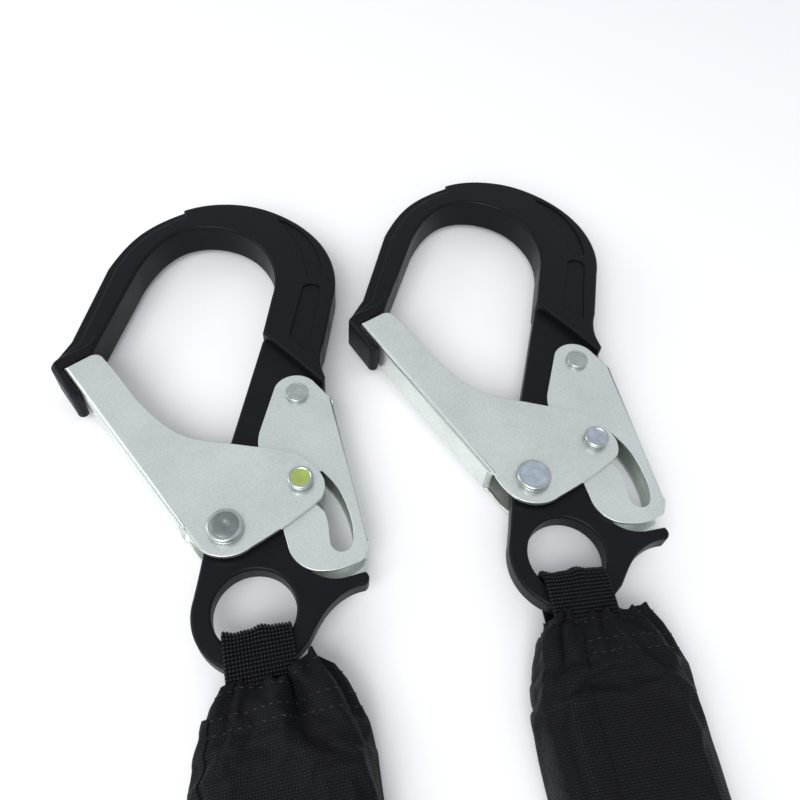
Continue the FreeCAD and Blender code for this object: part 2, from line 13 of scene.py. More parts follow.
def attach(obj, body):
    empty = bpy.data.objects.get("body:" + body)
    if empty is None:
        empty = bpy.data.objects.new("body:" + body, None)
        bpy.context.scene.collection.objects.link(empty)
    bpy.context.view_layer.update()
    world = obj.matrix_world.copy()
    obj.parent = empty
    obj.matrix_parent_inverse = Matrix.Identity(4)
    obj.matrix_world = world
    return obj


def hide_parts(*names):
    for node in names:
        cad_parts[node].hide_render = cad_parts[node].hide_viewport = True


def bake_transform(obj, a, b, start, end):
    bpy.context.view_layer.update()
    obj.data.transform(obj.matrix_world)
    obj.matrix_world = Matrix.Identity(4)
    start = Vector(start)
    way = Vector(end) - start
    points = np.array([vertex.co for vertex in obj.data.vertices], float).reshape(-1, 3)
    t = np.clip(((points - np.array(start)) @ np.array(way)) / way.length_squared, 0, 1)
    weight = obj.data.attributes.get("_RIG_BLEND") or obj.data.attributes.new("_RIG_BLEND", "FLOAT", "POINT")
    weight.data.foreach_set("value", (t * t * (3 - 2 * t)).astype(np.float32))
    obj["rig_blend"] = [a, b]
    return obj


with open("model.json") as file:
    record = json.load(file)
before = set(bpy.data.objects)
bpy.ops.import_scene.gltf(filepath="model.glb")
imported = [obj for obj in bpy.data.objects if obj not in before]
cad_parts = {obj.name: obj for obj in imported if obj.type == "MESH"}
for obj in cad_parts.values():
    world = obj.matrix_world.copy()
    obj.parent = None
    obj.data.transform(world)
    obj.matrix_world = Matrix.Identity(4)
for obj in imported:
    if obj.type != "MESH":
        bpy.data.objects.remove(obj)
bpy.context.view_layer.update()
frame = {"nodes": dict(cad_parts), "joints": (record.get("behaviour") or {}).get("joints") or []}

bl_info = {
    "name": "Twin-leg lanyard",
    "version": (1, 0, 0),
    "blender": (4, 5, 0),
    "location": "3D View > Sidebar > Lanyard",
    "description": "Scaffold hooks, webbing, fabric covers and harness connector round a jointed frame",
    "category": "Add Mesh",
}

# Lengths in the code are millimetres in one of three flat frames, and become metres in the row frame.
# Hook frame: origin at the eye's centre, +Y to the crown. Leg frame: origin under the eye, -Y along the
# cover. Connector frame: origin at its bar, -Y to its bow.
MM = 0.001
SIDES = ("left", "right")
JOINTS = {joint["name"]: joint for joint in frame["joints"]}
# a hook's pivots in its frame; where its swing's axis crosses the leg frame's Y axis; the height of its
# mid-thickness above the floor; and how far apart the two straps lie on the connector's bar
GATE_PIVOT = (-8.2, 31.9)
LEVER_PIVOT = (24.9, 92.1)
LATCH = (22.2, 48.2)
LOOP_TURN = -15.6
HOOK_MIDDLE = 12.0
STRAP_SPACING = 24.6
# rings in the rounding of a slab's edge and of a sheet's fold, and the seed of the yarns' unevenness
EDGE_STEPS = 4
FOLD_STEPS = 5
YARN_SEED = 11
# node groups built so far, by name
GROUPS = {}


# ---------------------------------------------------------------- frames

def flat_frame(origin, along_x):
    """The row-frame matrix of a flat frame whose X axis points along along_x, in millimetres."""
    x = Vector((along_x[0], along_x[1], 0.0)).normalized()
    y = Vector((-x.y, x.x, 0.0))
    turn = Matrix((x, y, Vector((0.0, 0.0, 1.0)))).transposed().to_4x4()
    return Matrix.Translation(Vector((origin[0], origin[1], 0.0))) @ turn @ Matrix.Scale(MM, 4)


def hook_frame(side):
    """The hook frame, from where its two pivots are; z = 0 is the hook's mid-thickness."""
    first = Vector(JOINTS[side + "_gate_turn"]["pos_m"])
    second = Vector(JOINTS[side + "_lever_turn"]["pos_m"])
    flat = math.atan2(LEVER_PIVOT[1] - GATE_PIVOT[1], LEVER_PIVOT[0] - GATE_PIVOT[0])
    turn = math.atan2(second.y - first.y, second.x - first.x) - flat
    x = Vector((math.cos(turn), math.sin(turn)))
    origin = first.xy - MM * (x * GATE_PIVOT[0] + Vector((-x.y, x.x)) * GATE_PIVOT[1])
    return Matrix.Translation((0.0, 0.0, first.z)) @ flat_frame(origin, x)


def leg_frame(side):
    """The leg frame, from the axis on which the hook swings; z = 0 is the floor."""
    swing = JOINTS[side + "_hook_swing"]
    x = Vector(swing["axis"]).normalized()
    origin = Vector(swing["pos_m"]).xy - MM * Vector((-x.y, x.x)) * LOOP_TURN
    return flat_frame(origin, x)


# ---------------------------------------------------------------- mesh helpers

def link(mesh, name, material=None):
    """A new object at the origin with this mesh."""
    piece = bpy.data.objects.new(name, mesh)
    bpy.context.scene.collection.objects.link(piece)
    if material is not None and len(mesh.materials):
        mesh.materials[0] = material
    elif material is not None:
        mesh.materials.append(material)
    return piece


def mesh_from(work, name, smooth=True):
    mesh = bpy.data.meshes.new(name)
    for face in work.faces:
        face.smooth = smooth
    work.to_mesh(mesh)
    work.free()
    return mesh


def settle(piece):
    """Applies the piece's modifiers, and leaves it a plain mesh."""
    graph = bpy.context.evaluated_depsgraph_get()
    mesh = bpy.data.meshes.new_from_object(piece.evaluated_get(graph), depsgraph=graph)
    piece.modifiers.clear()
    piece.data = mesh
    return piece


def merged_copy(node):
    """A copy of a CAD node's mesh with its corners joined and its flat faces whole again."""
    work = bmesh.new()
    work.from_mesh(frame["nodes"][node].data)
    bmesh.ops.remove_doubles(work, verts=work.verts, dist=2e-6)
    bmesh.ops.dissolve_limit(work, angle_limit=math.radians(0.6), verts=work.verts, edges=work.edges)
    return work


def outlines_at(node, frame_of_node, height):
    """The closed outlines of a CAD node cut level at this height, as 2-D points in its own flat frame.
    The material lies on the left of every outline."""
    work = merged_copy(node)
    work.transform(frame_of_node.inverted())
    everything = work.verts[:] + work.edges[:] + work.faces[:]
    cut = bmesh.ops.bisect_plane(work, geom=everything, plane_co=(0.0, 0.0, height), plane_no=(0.0, 0.0, 1.0),
                                 clear_outer=True)["geom_cut"]
    rim = dict.fromkeys(item for item in cut if isinstance(item, bmesh.types.BMEdge))
    loops = []
    while rim:
        edge = next(iter(rim))
        del rim[edge]
        start, here = edge.verts
        loop = [start]
        while here is not start:
            loop.append(here)
            edge = next(other for other in here.link_edges if other in rim)
            del rim[edge]
            here = edge.other_vert(here)
        loops.append(np.array([vert.co.xy for vert in loop]))
    work.free()
    loops = [evened(loop) for loop in loops]
    order = []
    for index, loop in enumerate(loops):
        depth = sum(contains([other], loop[:1])[0] for place, other in enumerate(loops) if place != index)
        order.append(loop if (signed_area(loop) > 0) == (depth % 2 == 0) else loop[::-1])
    return order


def signed_area(loop):
    after = np.roll(loop, -1, axis=0)
    return 0.5 * float((loop[:, 0] * after[:, 1] - loop[:, 1] * after[:, 0]).sum())


def contains(loops, points):
    """Whether each point is inside the outlines, by counting crossings."""
    inside = np.zeros(len(points), bool)
    for loop in loops:
        for start, end in zip(loop, np.roll(loop, -1, axis=0)):
            crosses = (start[1] > points[:, 1]) != (end[1] > points[:, 1])
            if crosses.any():
                at = start[0] + (points[:, 1] - start[1]) * (end[0] - start[0]) / (end[1] - start[1] + 1e-15)
                inside ^= crosses & (points[:, 0] < at)
    return inside


def evened(loop, shortest=0.12, longest=1.6):
    """The outline without crowded points, and with its long runs divided."""
    kept = [loop[0]]
    for point in loop[1:]:
        if np.hypot(*(point - kept[-1])) > shortest:
            kept.append(point)
    if np.hypot(*(kept[0] - kept[-1])) < shortest:
        kept.pop()
    points = []
    for start, end in zip(kept, kept[1:] + kept[:1]):
        parts = max(1, math.ceil(np.hypot(*(end - start)) / longest))
        points.extend(start + (end - start) * part / parts for part in range(parts))
    return np.array(points)


def inward(loop):
    """Each point's direction into the material, stretched at corners so that an offset keeps its distance."""
    before = loop - np.roll(loop, 1, axis=0)
    after = np.roll(loop, -1, axis=0) - loop
    sides = []
    for run in (before, after):
        run = run / np.linalg.norm(run, axis=1, keepdims=True)
        sides.append(np.stack([-run[:, 1], run[:, 0]], axis=1))
    middle = sides[0] + sides[1]
    middle /= np.maximum(np.linalg.norm(middle, axis=1, keepdims=True), 1e-6)
    lean = np.maximum((middle * sides[1]).sum(1, keepdims=True), 0.35)
    return middle / lean


def distances(points, loop):
    """How far each point is from the outline."""
    best = np.full(len(points), np.inf)
    for start, end in zip(loop, np.roll(loop, -1, axis=0)):
        run = end - start
        share = np.clip(((points - start) @ run) / (run @ run), 0.0, 1.0)
        best = np.minimum(best, np.linalg.norm(points - start - share[:, None] * run, axis=1))
    return best


def round_depths(radius, steps):
    """How far in from an edge of this radius each ring of its rounding lies."""
    return [radius * (1.0 - math.cos(math.pi / 2 * step / steps)) for step in range(1, steps + 1)]


def rounded_slab(work, loops, low, high, radii, rounded=(True, True)):
    """Adds a slab between two heights with these outlines. Each outline's edge is rounded by its own radius,
    at the low and the high end where rounded says so."""
    points = np.concatenate(loops)
    ends = np.cumsum([len(loop) for loop in loops])
    rim = []
    for end, loop in zip(ends, loops):
        first = end - len(loop)
        rim.extend((first + step, first + (step + 1) % len(loop)) for step in range(len(loop)))
    rings = []
    for loop, radius in zip(loops, radii):
        into = inward(loop)
        for depth in round_depths(radius, EDGE_STEPS):
            ring = loop + into * depth
            clear = np.min([distances(ring, other) for other in loops], axis=0) > depth * 0.96
            rings.append(ring[clear & contains(loops, ring)])
    points = np.concatenate([points] + rings)
    fall = np.zeros(len(points))
    for loop, radius in zip(loops, radii):
        short = np.maximum(radius - distances(points, loop), 0.0)
        fall = np.maximum(fall, radius - np.sqrt(np.maximum(radius * radius - short * short, 0.0)))
    result = delaunay_2d_cdt([Vector(point) for point in points], rim, [], 0, 1e-5)
    spots, faces, sources = result[0], result[2], result[3]
    fall_of = [max(fall[source] for source in came) if came else 0.0 for came in sources]
    flat = np.array([list(spot) for spot in spots])
    middles = np.array([flat[list(face)].mean(0) for face in faces])
    inside = contains(loops, middles)
    upper = [work.verts.new((spot[0], spot[1], high - drop * rounded[1]))
             for spot, drop in zip(spots, fall_of)]
    lower = [work.verts.new((spot[0], spot[1], low + drop * rounded[0]))
             for spot, drop in zip(spots, fall_of)]
    for face, keep in zip(faces, inside):
        if keep:
            work.faces.new([upper[corner] for corner in face])
            work.faces.new([lower[corner] for corner in reversed(face)])
    place_of = {source: place for place, came in enumerate(sources) for source in came}
    for start, end in rim:
        a, b = place_of[start], place_of[end]
        work.faces.new([lower[a], lower[b], upper[b], upper[a]])
    for vert in upper + lower:
        if not vert.link_faces:
            work.verts.remove(vert)


def weighted(piece, weight=60):
    """Shading that stays even on flat faces beside rounded edges."""
    even = piece.modifiers.new("Even shading", "WEIGHTED_NORMAL")
    even.weight = weight
    return settle(piece)


def folded_copy(node, name, material, place, line, half, radius):
    """A copy of a channel from a CAD node, with its sheet bent round where it folds along this line."""
    work = merged_copy(node)
    work.transform(place.inverted())
    start, end = Vector(line[0]), Vector(line[1])
    along = (end - start).normalized()
    into = Vector((along.y, -along.x))
    if into.dot(Vector(GATE_PIVOT) - start) < 0:
        into = -into
    for depth in round_depths(radius, FOLD_STEPS):
        spot = start + into * depth
        for normal, where in (((into.x, into.y, 0.0), (spot.x, spot.y, 0.0)),
                              ((0.0, 0.0, 1.0), (0.0, 0.0, half - depth)),
                              ((0.0, 0.0, 1.0), (0.0, 0.0, depth - half))):
            near = [face for face in work.faces if any(
                (vert.co.xy - start).dot(into) < radius + 1.5 for vert in face.verts)]
            geom = list(dict.fromkeys(item for face in near for item in (face, *face.edges, *face.verts)))
            bmesh.ops.bisect_plane(work, geom=geom, plane_co=where, plane_no=normal, dist=1e-4)
    for vert in work.verts:
        deep = radius - (vert.co.xy - start).dot(into)
        high = abs(vert.co.z) - (half - radius)
        if deep > 0.0 and high > 0.0 and max(deep, high) > radius - 0.01:
            share = radius / math.hypot(deep, high)
            flat = vert.co.xy + into * (deep - deep * share)
            vert.co = (flat.x, flat.y, math.copysign(half - radius + high * share, vert.co.z))
    work.transform(place)
    weight = work.edges.layers.float.new("bevel_weight_edge")
    for edge in work.edges:
        if len(edge.link_faces) == 2 and edge.calc_face_angle() > math.radians(35.0):
            edge[weight] = 1.0
    piece = link(mesh_from(work, name), name, material)
    bevel = piece.modifiers.new("Broken edges", "BEVEL")
    bevel.limit_method = "WEIGHT"
    bevel.width = 0.28 * MM
    bevel.segments = 2
    bevel.use_clamp_overlap = False
    return weighted(piece)


def lathe(name, profile, middle, place, material, face=None, segments=72):
    """A turned piece about Z. The profile runs from the top's centre to the bottom's centre. face is a second
    material and the radius within which both ends have it. The mesh stores each point's "turned_radius"."""
    work = bmesh.new()
    kept = work.verts.layers.float.new("turned_radius")
    rings = []
    for radius, height in profile:
        ring = []
        for step in range(segments if radius > 1e-6 else 1):
            turn = 2 * math.pi * step / segments
            across, up = radius * math.cos(turn), radius * math.sin(turn)
            vert = work.verts.new((middle[0] + across, middle[1] + up, height))
            vert[kept] = radius * MM
            ring.append(vert)
        rings.append(ring)
    for upper, lower in zip(rings, rings[1:]):
        for step in range(segments):
            after = (step + 1) % segments
            corners = [upper[step % len(upper)], lower[step % len(lower)],
                       lower[after % len(lower)], upper[after % len(upper)]]
            side = work.faces.new(list(dict.fromkeys(corners)))
            if face and max(vert[kept] for vert in side.verts) <= (face[1] + 0.01) * MM:
                side.material_index = 1
    bmesh.ops.recalc_face_normals(work, faces=work.faces)
    work.transform(place)
    piece = link(mesh_from(work, name), name, material)
    if face:
        piece.data.materials.append(face[0])
    return piece


def both_ends(profile):
    """A top profile, then the same one below the middle."""
    return profile + [(radius, -height) for radius, height in reversed(profile)]


def lengths_along(points):
    """How far along the path each of its points is."""
    runs = np.diff(np.asarray(points, float), axis=0)
    return np.concatenate([[0.0], np.cumsum(np.linalg.norm(runs, axis=1))])


def unit_tangents(path):
    """The direction of the path at each of its points."""
    tangents = np.gradient(path, axis=0)
    return tangents / np.linalg.norm(tangents, axis=1, keepdims=True)


def smooth_path(points, step):
    """Evenly spaced points on a smooth curve through these points."""
    points = [np.array(point, float) for point in points]
    padded = [2 * points[0] - points[1]] + points + [2 * points[-1] - points[-2]]
    line = []
    for a, b, c, d in zip(padded, padded[1:], padded[2:], padded[3:]):
        for part in range(12):
            t = part / 12
            line.append(0.5 * (2 * b + (c - a) * t + (2 * a - 5 * b + 4 * c - d) * t * t
                               + (3 * b - 3 * c + d - a) * t ** 3))
    line.append(points[-1])
    line = np.array(line)
    along = lengths_along(line)
    at = np.linspace(0.0, along[-1], max(2, round(along[-1] / step) + 1))
    return np.stack([np.interp(at, along, line[:, axis]) for axis in range(line.shape[1])], axis=1)


def yarn_tree():
    """Geometry Nodes: one low dome on every point, standing on "facing" and running along "running"."""
    tree = bpy.data.node_groups.new("Yarns on a surface", "GeometryNodeTree")
    tree.is_modifier = True
    sockets = [("Geometry", "Geometry", "INPUT")]
    sockets += [(title, "Float", "INPUT") for title in ("Length", "Width", "Height", "Slant", "Unevenness")]
    sockets += [("Material", "Material", "INPUT"), ("Geometry", "Geometry", "OUTPUT")]
    for title, kind, way in sockets:
        tree.interface.new_socket(name=title, in_out=way, socket_type="NodeSocket" + kind)
    graph = Graph(tree)
    given = graph.node("NodeGroupInput")
    dome = graph.node("GeometryNodeMeshCone", None, Vertices=7, i1=1, i2=1, i3=0.5, i4=1.0, Depth=1.0)
    facing = graph.node("GeometryNodeInputNamedAttribute", {"data_type": "FLOAT_VECTOR"}, Name="facing")
    running = graph.node("GeometryNodeInputNamedAttribute", {"data_type": "FLOAT_VECTOR"}, Name="running")
    upright = graph.node("FunctionNodeAlignRotationToVector", {"axis": "Z"}, Vector=facing.outputs[0])
    aimed = graph.node("FunctionNodeAlignRotationToVector", {"axis": "X", "pivot_axis": "Z"},
                       Rotation=upright.outputs[0], Vector=running.outputs[0])
    lean = graph.node("FunctionNodeAxisAngleToRotation", None, Axis=(0.0, 0.0, 1.0),
                      Angle=given.outputs["Slant"])
    turned = graph.node("FunctionNodeRotateRotation", {"rotation_space": "LOCAL"},
                        i0=aimed.outputs[0], i1=lean.outputs[0])
    spread = graph.node("FunctionNodeRandomValue", {"data_type": "FLOAT"}, Seed=YARN_SEED)
    low = graph.math("SUBTRACT", 1.0, given.outputs["Unevenness"])
    high = graph.math("ADD", 1.0, given.outputs["Unevenness"])
    graph.put(low, next(item for item in spread.inputs if item.name == "Min" and item.type == "VALUE"))
    graph.put(high, next(item for item in spread.inputs if item.name == "Max" and item.type == "VALUE"))
    factor = next(item for item in spread.outputs if item.type == "VALUE")
    size = graph.node("ShaderNodeCombineXYZ", None,
                      X=graph.math("MULTIPLY", given.outputs["Length"], 0.5),
                      Y=graph.math("MULTIPLY", given.outputs["Width"], 0.5),
                      Z=graph.math("MULTIPLY", given.outputs["Height"], factor))
    placed = graph.node("GeometryNodeInstanceOnPoints", None, Points=given.outputs["Geometry"],
                        Instance=dome.outputs[0], Rotation=turned.outputs[0], Scale=size.outputs[0])
    real = graph.node("GeometryNodeRealizeInstances", None, Geometry=placed.outputs[0])
    smooth = graph.node("GeometryNodeSetShadeSmooth", None, Geometry=real.outputs[0])
    done = graph.node("GeometryNodeSetMaterial", None, Geometry=smooth.outputs[0],
                      Material=given.outputs["Material"])
    result = tree.nodes.new("NodeGroupOutput")
    tree.links.new(done.outputs[0], result.inputs[0])
    return tree


def yarns(name, spots, facings, runnings, size, slant, unevenness, material):
    """Domes of one size (length, width, height) on these points, as a plain mesh."""
    if "yarns" not in GROUPS:
        GROUPS["yarns"] = yarn_tree()
    tree = GROUPS["yarns"]
    mesh = bpy.data.meshes.new(name)
    mesh.from_pydata([tuple(spot) for spot in spots], [], [])
    for key, vectors in (("facing", facings), ("running", runnings)):
        layer = mesh.attributes.new(key, "FLOAT_VECTOR", "POINT")
        layer.data.foreach_set("vector", np.array(vectors, np.float32).ravel())
    piece = link(mesh, name)
    grow = piece.modifiers.new("Yarns", "NODES")
    grow.node_group = tree
    sockets = {item.name: item.identifier for item in tree.interface.items_tree
               if item.item_type == "SOCKET" and item.in_out == "INPUT"}
    for key, value in (("Length", size[0]), ("Width", size[1]), ("Height", size[2]), ("Slant", slant),
                       ("Unevenness", unevenness), ("Material", material)):
        grow[sockets[key]] = value
    settle(piece)
    piece.data.materials.clear()
    piece.data.materials.append(material)
    for key in [layer.name for layer in piece.data.attributes if layer.name in ("facing", "running")]:
        piece.data.attributes.remove(piece.data.attributes[key])
    return piece


def joined(name, pieces):
    """One object from several of one material each. The several are removed."""
    work = bmesh.new()
    materials = []
    for piece in pieces:
        own = piece.data.materials[0]
        if own not in materials:
            materials.append(own)
        first = len(work.faces)
        work.from_mesh(piece.data)
        work.faces.ensure_lookup_table()
        for face in work.faces[first:]:
            face.material_index = materials.index(own)
    mesh = bpy.data.meshes.new(name)
    work.to_mesh(mesh)
    work.free()
    for piece in pieces:
        bpy.data.objects.remove(piece)
    result = link(mesh, name)
    for material in materials:
        mesh.materials.append(material)
    return result


def skin(work, uv, rows, across, down):
    """Faces between rows of points, each row a closed ring. across and down are how far round each column is
    and how far along each row is, for the UV map."""
    for first, second, start, end in zip(rows, rows[1:], down, down[1:]):
        for step in range(len(first)):
            after = (step + 1) % len(first)
            face = work.faces.new([first[step], first[after], second[after], second[step]])
            left, right = across[step], across[step + 1]
            for loop, value in zip(face.loops, ((left, start), (right, start), (right, end), (left, end))):
                loop[uv].uv = value


def band(name, path, half_width, half_thick, place, material, sway=None):
    """A flat band along a path in the frame's YZ plane, with soft edges. sway gives how far a point is lifted,
    from its x and its place on the path."""
    columns = 12
    soft = 0.45
    work = bmesh.new()
    uv = work.loops.layers.uv.new("Weave")
    tangents = unit_tangents(path)
    normals = np.stack([-tangents[:, 1], tangents[:, 0]], axis=1)
    ring = [(-half_width, 0.0), (-half_width + soft * 0.3, 0.7), (-half_width + soft, 1.0)]
    ring += [(half_width * (2 * step / columns - 1), 1.0) for step in range(1, columns)]
    ring += [(half_width - soft, 1.0), (half_width - soft * 0.3, 0.7), (half_width, 0.0)]
    ring += [(x, -side) for x, side in reversed(ring[1:-1])]
    rows = []
    for spot, normal in zip(path, normals):
        row = []
        for x, side in ring:
            push = sway(x, spot) if sway else 0.0
            flat = spot + normal * (side * half_thick + push)
            row.append(work.verts.new((x, flat[0], flat[1])))
        rows.append(row)
    skin(work, uv, rows, lengths_along(ring + ring[:1]) * MM, lengths_along(path) * MM)
    work.faces.new(rows[0])
    work.faces.new(list(reversed(rows[-1])))
    bmesh.ops.recalc_face_normals(work, faces=work.faces)
    work.transform(place)
    return link(mesh_from(work, name), name, material)


def loft(name, rings, place, material, wrap=False):
    """A skin over closed rings of equally many points. With wrap, the last ring joins the first one."""
    work = bmesh.new()
    uv = work.loops.layers.uv.new("Weave")
    rows = [[work.verts.new(tuple(spot)) for spot in ring] for ring in rings]
    firsts = [ring[0] for ring in rings]
    if wrap:
        rows, firsts = rows + rows[:1], firsts + firsts[:1]
    around = list(rings[0]) + [rings[0][0]]
    skin(work, uv, rows, lengths_along(around) * MM, lengths_along(firsts) * MM)
    bmesh.ops.recalc_face_normals(work, faces=work.faces)
    work.transform(place)
    return link(mesh_from(work, name), name, material)


def stitched(name, spots, facings, place, thread, size, gap, closed=False):
    """A row of stitches of one size (length, width, height) along a line on a surface, standing on it."""
    spots = [np.array(spot, float) for spot in spots]
    facings = [np.array(facing, float) for facing in facings]
    if closed:
        spots, facings = spots + spots[:1], facings + facings[:1]
    along = lengths_along(spots)
    length = size[0]
    at = np.arange(length / 2, along[-1], length + gap)

    def line_at(places, items):
        return np.stack([np.interp(places, along, [item[axis] for item in items]) for axis in range(3)], axis=1)

    running = line_at(at + 0.2, spots) - line_at(at - 0.2, spots)
    turn = place.to_3x3()
    return yarns(name, [place @ Vector(spot) for spot in line_at(at, spots)],
                 [(turn @ Vector(item)).normalized() for item in line_at(at, facings)],
                 [(turn @ Vector(item)).normalized() for item in running],
                 [part * MM for part in size], 0.0, 0.15, thread)


# a webbing band's half thickness, how far out its yarns stand, a yarn's width in the weave, its size and slant
WEBBING_HALF = 0.72
YARN_LIFT = 0.86
YARN_SPACE = 1.25
YARN_SIZE = (1.32 * MM, 0.95 * MM, 0.66 * MM)
YARN_SLANT = math.radians(24.0)


def woven_band(name, points, half_width, place, material, yarn, sway=None, pitch=1.4):
    """A webbing band with its yarns as real relief on the outer face. pitch is how far apart their rows are."""
    body = band(name + "_core", smooth_path(points, 1.0), half_width, WEBBING_HALF, place, material, sway)
    rows = smooth_path(points, pitch)
    turn = place.to_3x3()
    running = (turn @ Vector((1.0, 0.0, 0.0))).normalized()
    spots, facings = [], []
    count = max(4, round(2 * half_width / YARN_SPACE))
    for spot, tangent in zip(rows, unit_tangents(rows)):
        normal = np.array([-tangent[1], tangent[0]])
        for column in range(count):
            x = half_width * (2 * (column + 0.5) / count - 1) * 0.985
            push = sway(x, spot) if sway else 0.0
            flat = spot + normal * (YARN_LIFT + push)
            spots.append(place @ Vector((x, flat[0], flat[1])))
            facings.append((turn @ Vector((0.0, normal[0], normal[1]))).normalized())
    relief = yarns(name + "_yarns", spots, facings, [running] * len(spots), YARN_SIZE, YARN_SLANT, 0.12, yarn)
    return joined(name, [body, relief])


# ---------------------------------------------------------------- shader groups

def new_group(name, inputs, outputs):
    """A shader node group with its input and output nodes."""
    group = bpy.data.node_groups.new(name, "ShaderNodeTree")
    for title, kind, default in inputs:
        socket = group.interface.new_socket(name=title, in_out="INPUT", socket_type=kind)
        if default is not None:
            socket.default_value = default
    for title, kind in outputs:
        group.interface.new_socket(name=title, in_out="OUTPUT", socket_type=kind)
    return group, group.nodes.new("NodeGroupInput"), group.nodes.new("NodeGroupOutput")


class Graph:
    """Short ways to add and join nodes in one tree."""

    def __init__(self, tree):
        self.tree = tree

    def node(self, kind, settings=None, **inputs):
        item = self.tree.nodes.new(kind)
        for key, value in (settings or {}).items():
            setattr(item, key, value)
        for key, value in inputs.items():
            self.put(value, item.inputs[int(key[1:]) if key[0] == "i" and key[1:].isdigit() else key])
        return item

    def put(self, value, socket):
        if isinstance(value, bpy.types.NodeSocket):
            self.tree.links.new(value, socket)
        else:
            socket.default_value = value

    def math(self, operation, a, b=0.0, c=0.0):
        return self.node("ShaderNodeMath", {"operation": operation}, i0=a, i1=b, i2=c).outputs[0]

    def mix(self, factor, a, b, blend="MIX"):
        item = self.node("ShaderNodeMix", {"data_type": "RGBA", "blend_type": blend}, i0=factor, i6=a, i7=b)
        return item.outputs[2]

    def remap(self, value, low, high, to_low, to_high):
        item = self.node("ShaderNodeMapRange", None, i0=value, i1=low, i2=high, i3=to_low, i4=to_high)
        return item.outputs[0]

    def noise(self, vector, scale, detail=3.0, roughness=0.5):
        item = self.node("ShaderNodeTexNoise", None, Vector=vector, Scale=scale, Detail=detail,
                         Roughness=roughness)
        return item.outputs[0]


def grain_group():
    """Fine grain and slow unevenness of a coated or plated surface."""
    group, given, result = new_group(
        "Surface grain",
        [("Vector", "NodeSocketVector", None), ("Grain size", "NodeSocketFloat", 0.0004),
         ("Blotch size", "NodeSocketFloat", 0.01)],
        [("Grain", "NodeSocketFloat"), ("Blotch", "NodeSocketFloat")])
    graph = Graph(group)
    fine = graph.math("DIVIDE", 1.0, given.outputs["Grain size"])
    broad = graph.math("DIVIDE", 1.0, given.outputs["Blotch size"])
    grain = graph.noise(given.outputs["Vector"], fine, 2.0, 0.6)
    blotch = graph.noise(given.outputs["Vector"], broad, 4.0, 0.55)
    group.links.new(grain, result.inputs["Grain"])
    group.links.new(blotch, result.inputs["Blotch"])
    return group


def weave_group():
    """A plain weave on a surface's own coordinates in metres."""
    group, given, result = new_group(
        "Plain weave",
        [("Vector", "NodeSocketVector", None), ("Pitch", "NodeSocketFloat", 0.0008)],
        [("Height", "NodeSocketFloat"), ("Warp", "NodeSocketFloat")])
    graph = Graph(group)
    split = graph.node("ShaderNodeSeparateXYZ", None, i0=given.outputs["Vector"])
    step = graph.math("DIVIDE", math.pi, given.outputs["Pitch"])
    across = graph.math("MULTIPLY", split.outputs[0], step)
    along = graph.math("MULTIPLY", split.outputs[1], step)
    over = graph.math("MULTIPLY", graph.math("SINE", across), graph.math("SINE", along))
    warp = graph.math("GREATER_THAN", over, 0.0)
    ridge_a = graph.math("ABSOLUTE", graph.math("SINE", across))
    ridge_b = graph.math("ABSOLUTE", graph.math("SINE", along))
    height = graph.math("MULTIPLY", graph.math("ABSOLUTE", over), graph.math("MAXIMUM", ridge_a, ridge_b))
    group.links.new(height, result.inputs["Height"])
    group.links.new(warp, result.inputs["Warp"])
    return group


def group_node(graph, name, **inputs):
    """Places a shared group, built the first time it is asked for."""
    if name not in GROUPS:
        GROUPS[name] = {"grain": grain_group, "weave": weave_group}[name]()
    item = graph.tree.nodes.new("ShaderNodeGroup")
    item.node_tree = GROUPS[name]
    for key, value in inputs.items():
        graph.put(value, item.inputs[key.replace("_", " ")])
    return item


def new_material(name, **sockets):
    """A material with one Principled BSDF, whose plain values are set on its own sockets."""
    material = bpy.data.materials.new(name)
    material.use_nodes = True
    tree = material.node_tree
    shader = tree.nodes["Principled BSDF"]
    for key, value in sockets.items():
        shader.inputs[key.replace("_", " ")].default_value = value
    return material, Graph(tree), shader


def tone(colour, factor):
    return (colour[0] * factor, colour[1] * factor, colour[2] * factor, 1.0)


def object_coordinates(graph):
    return graph.node("ShaderNodeTexCoord").outputs["Object"]


def bump(graph, height, distance, strength, shader):
    item = graph.node("ShaderNodeBump", None, Strength=strength, Distance=distance, Height=height)
    graph.put(item.outputs[0], shader.inputs["Normal"])


def painted_alloy(name, colour, rough):
    """Satin coating on a forging: fine orange peel and slightly uneven gloss."""
    material, graph, shader = new_material(name, Metallic=0.0, Specular_IOR_Level=0.15)
    place = object_coordinates(graph)
    grain = group_node(graph, "grain", Vector=place, Grain_size=0.0007, Blotch_size=0.012)
    graph.put(graph.mix(grain.outputs["Blotch"], tone(colour, 0.8), tone(colour, 1.25)),
              shader.inputs["Base Color"])
    uneven = graph.remap(grain.outputs["Blotch"], 0.3, 0.7, rough - 0.05, rough + 0.07)
    graph.put(uneven, shader.inputs["Roughness"])
    bump(graph, grain.outputs["Grain"], 0.00012, 0.22, shader)
    return material


def plated_steel(name, colour, rough):
    """Zinc plating on rolled sheet: pale, with a fine mottled grain."""
    material, graph, shader = new_material(name, Metallic=0.9)
    place = object_coordinates(graph)
    grain = group_node(graph, "grain", Vector=place, Grain_size=0.0009, Blotch_size=0.022)
    shade = graph.math("ADD", grain.outputs["Grain"], grain.outputs["Blotch"])
    graph.put(graph.mix(graph.remap(shade, 0.75, 1.25, 0.0, 1.0), tone(colour, 0.88), tone(colour, 1.06)),
              shader.inputs["Base Color"])
    graph.put(graph.remap(shade, 0.7, 1.3, rough + 0.07, rough - 0.05), shader.inputs["Roughness"])
    bump(graph, grain.outputs["Grain"], 0.00004, 0.35, shader)
    return material


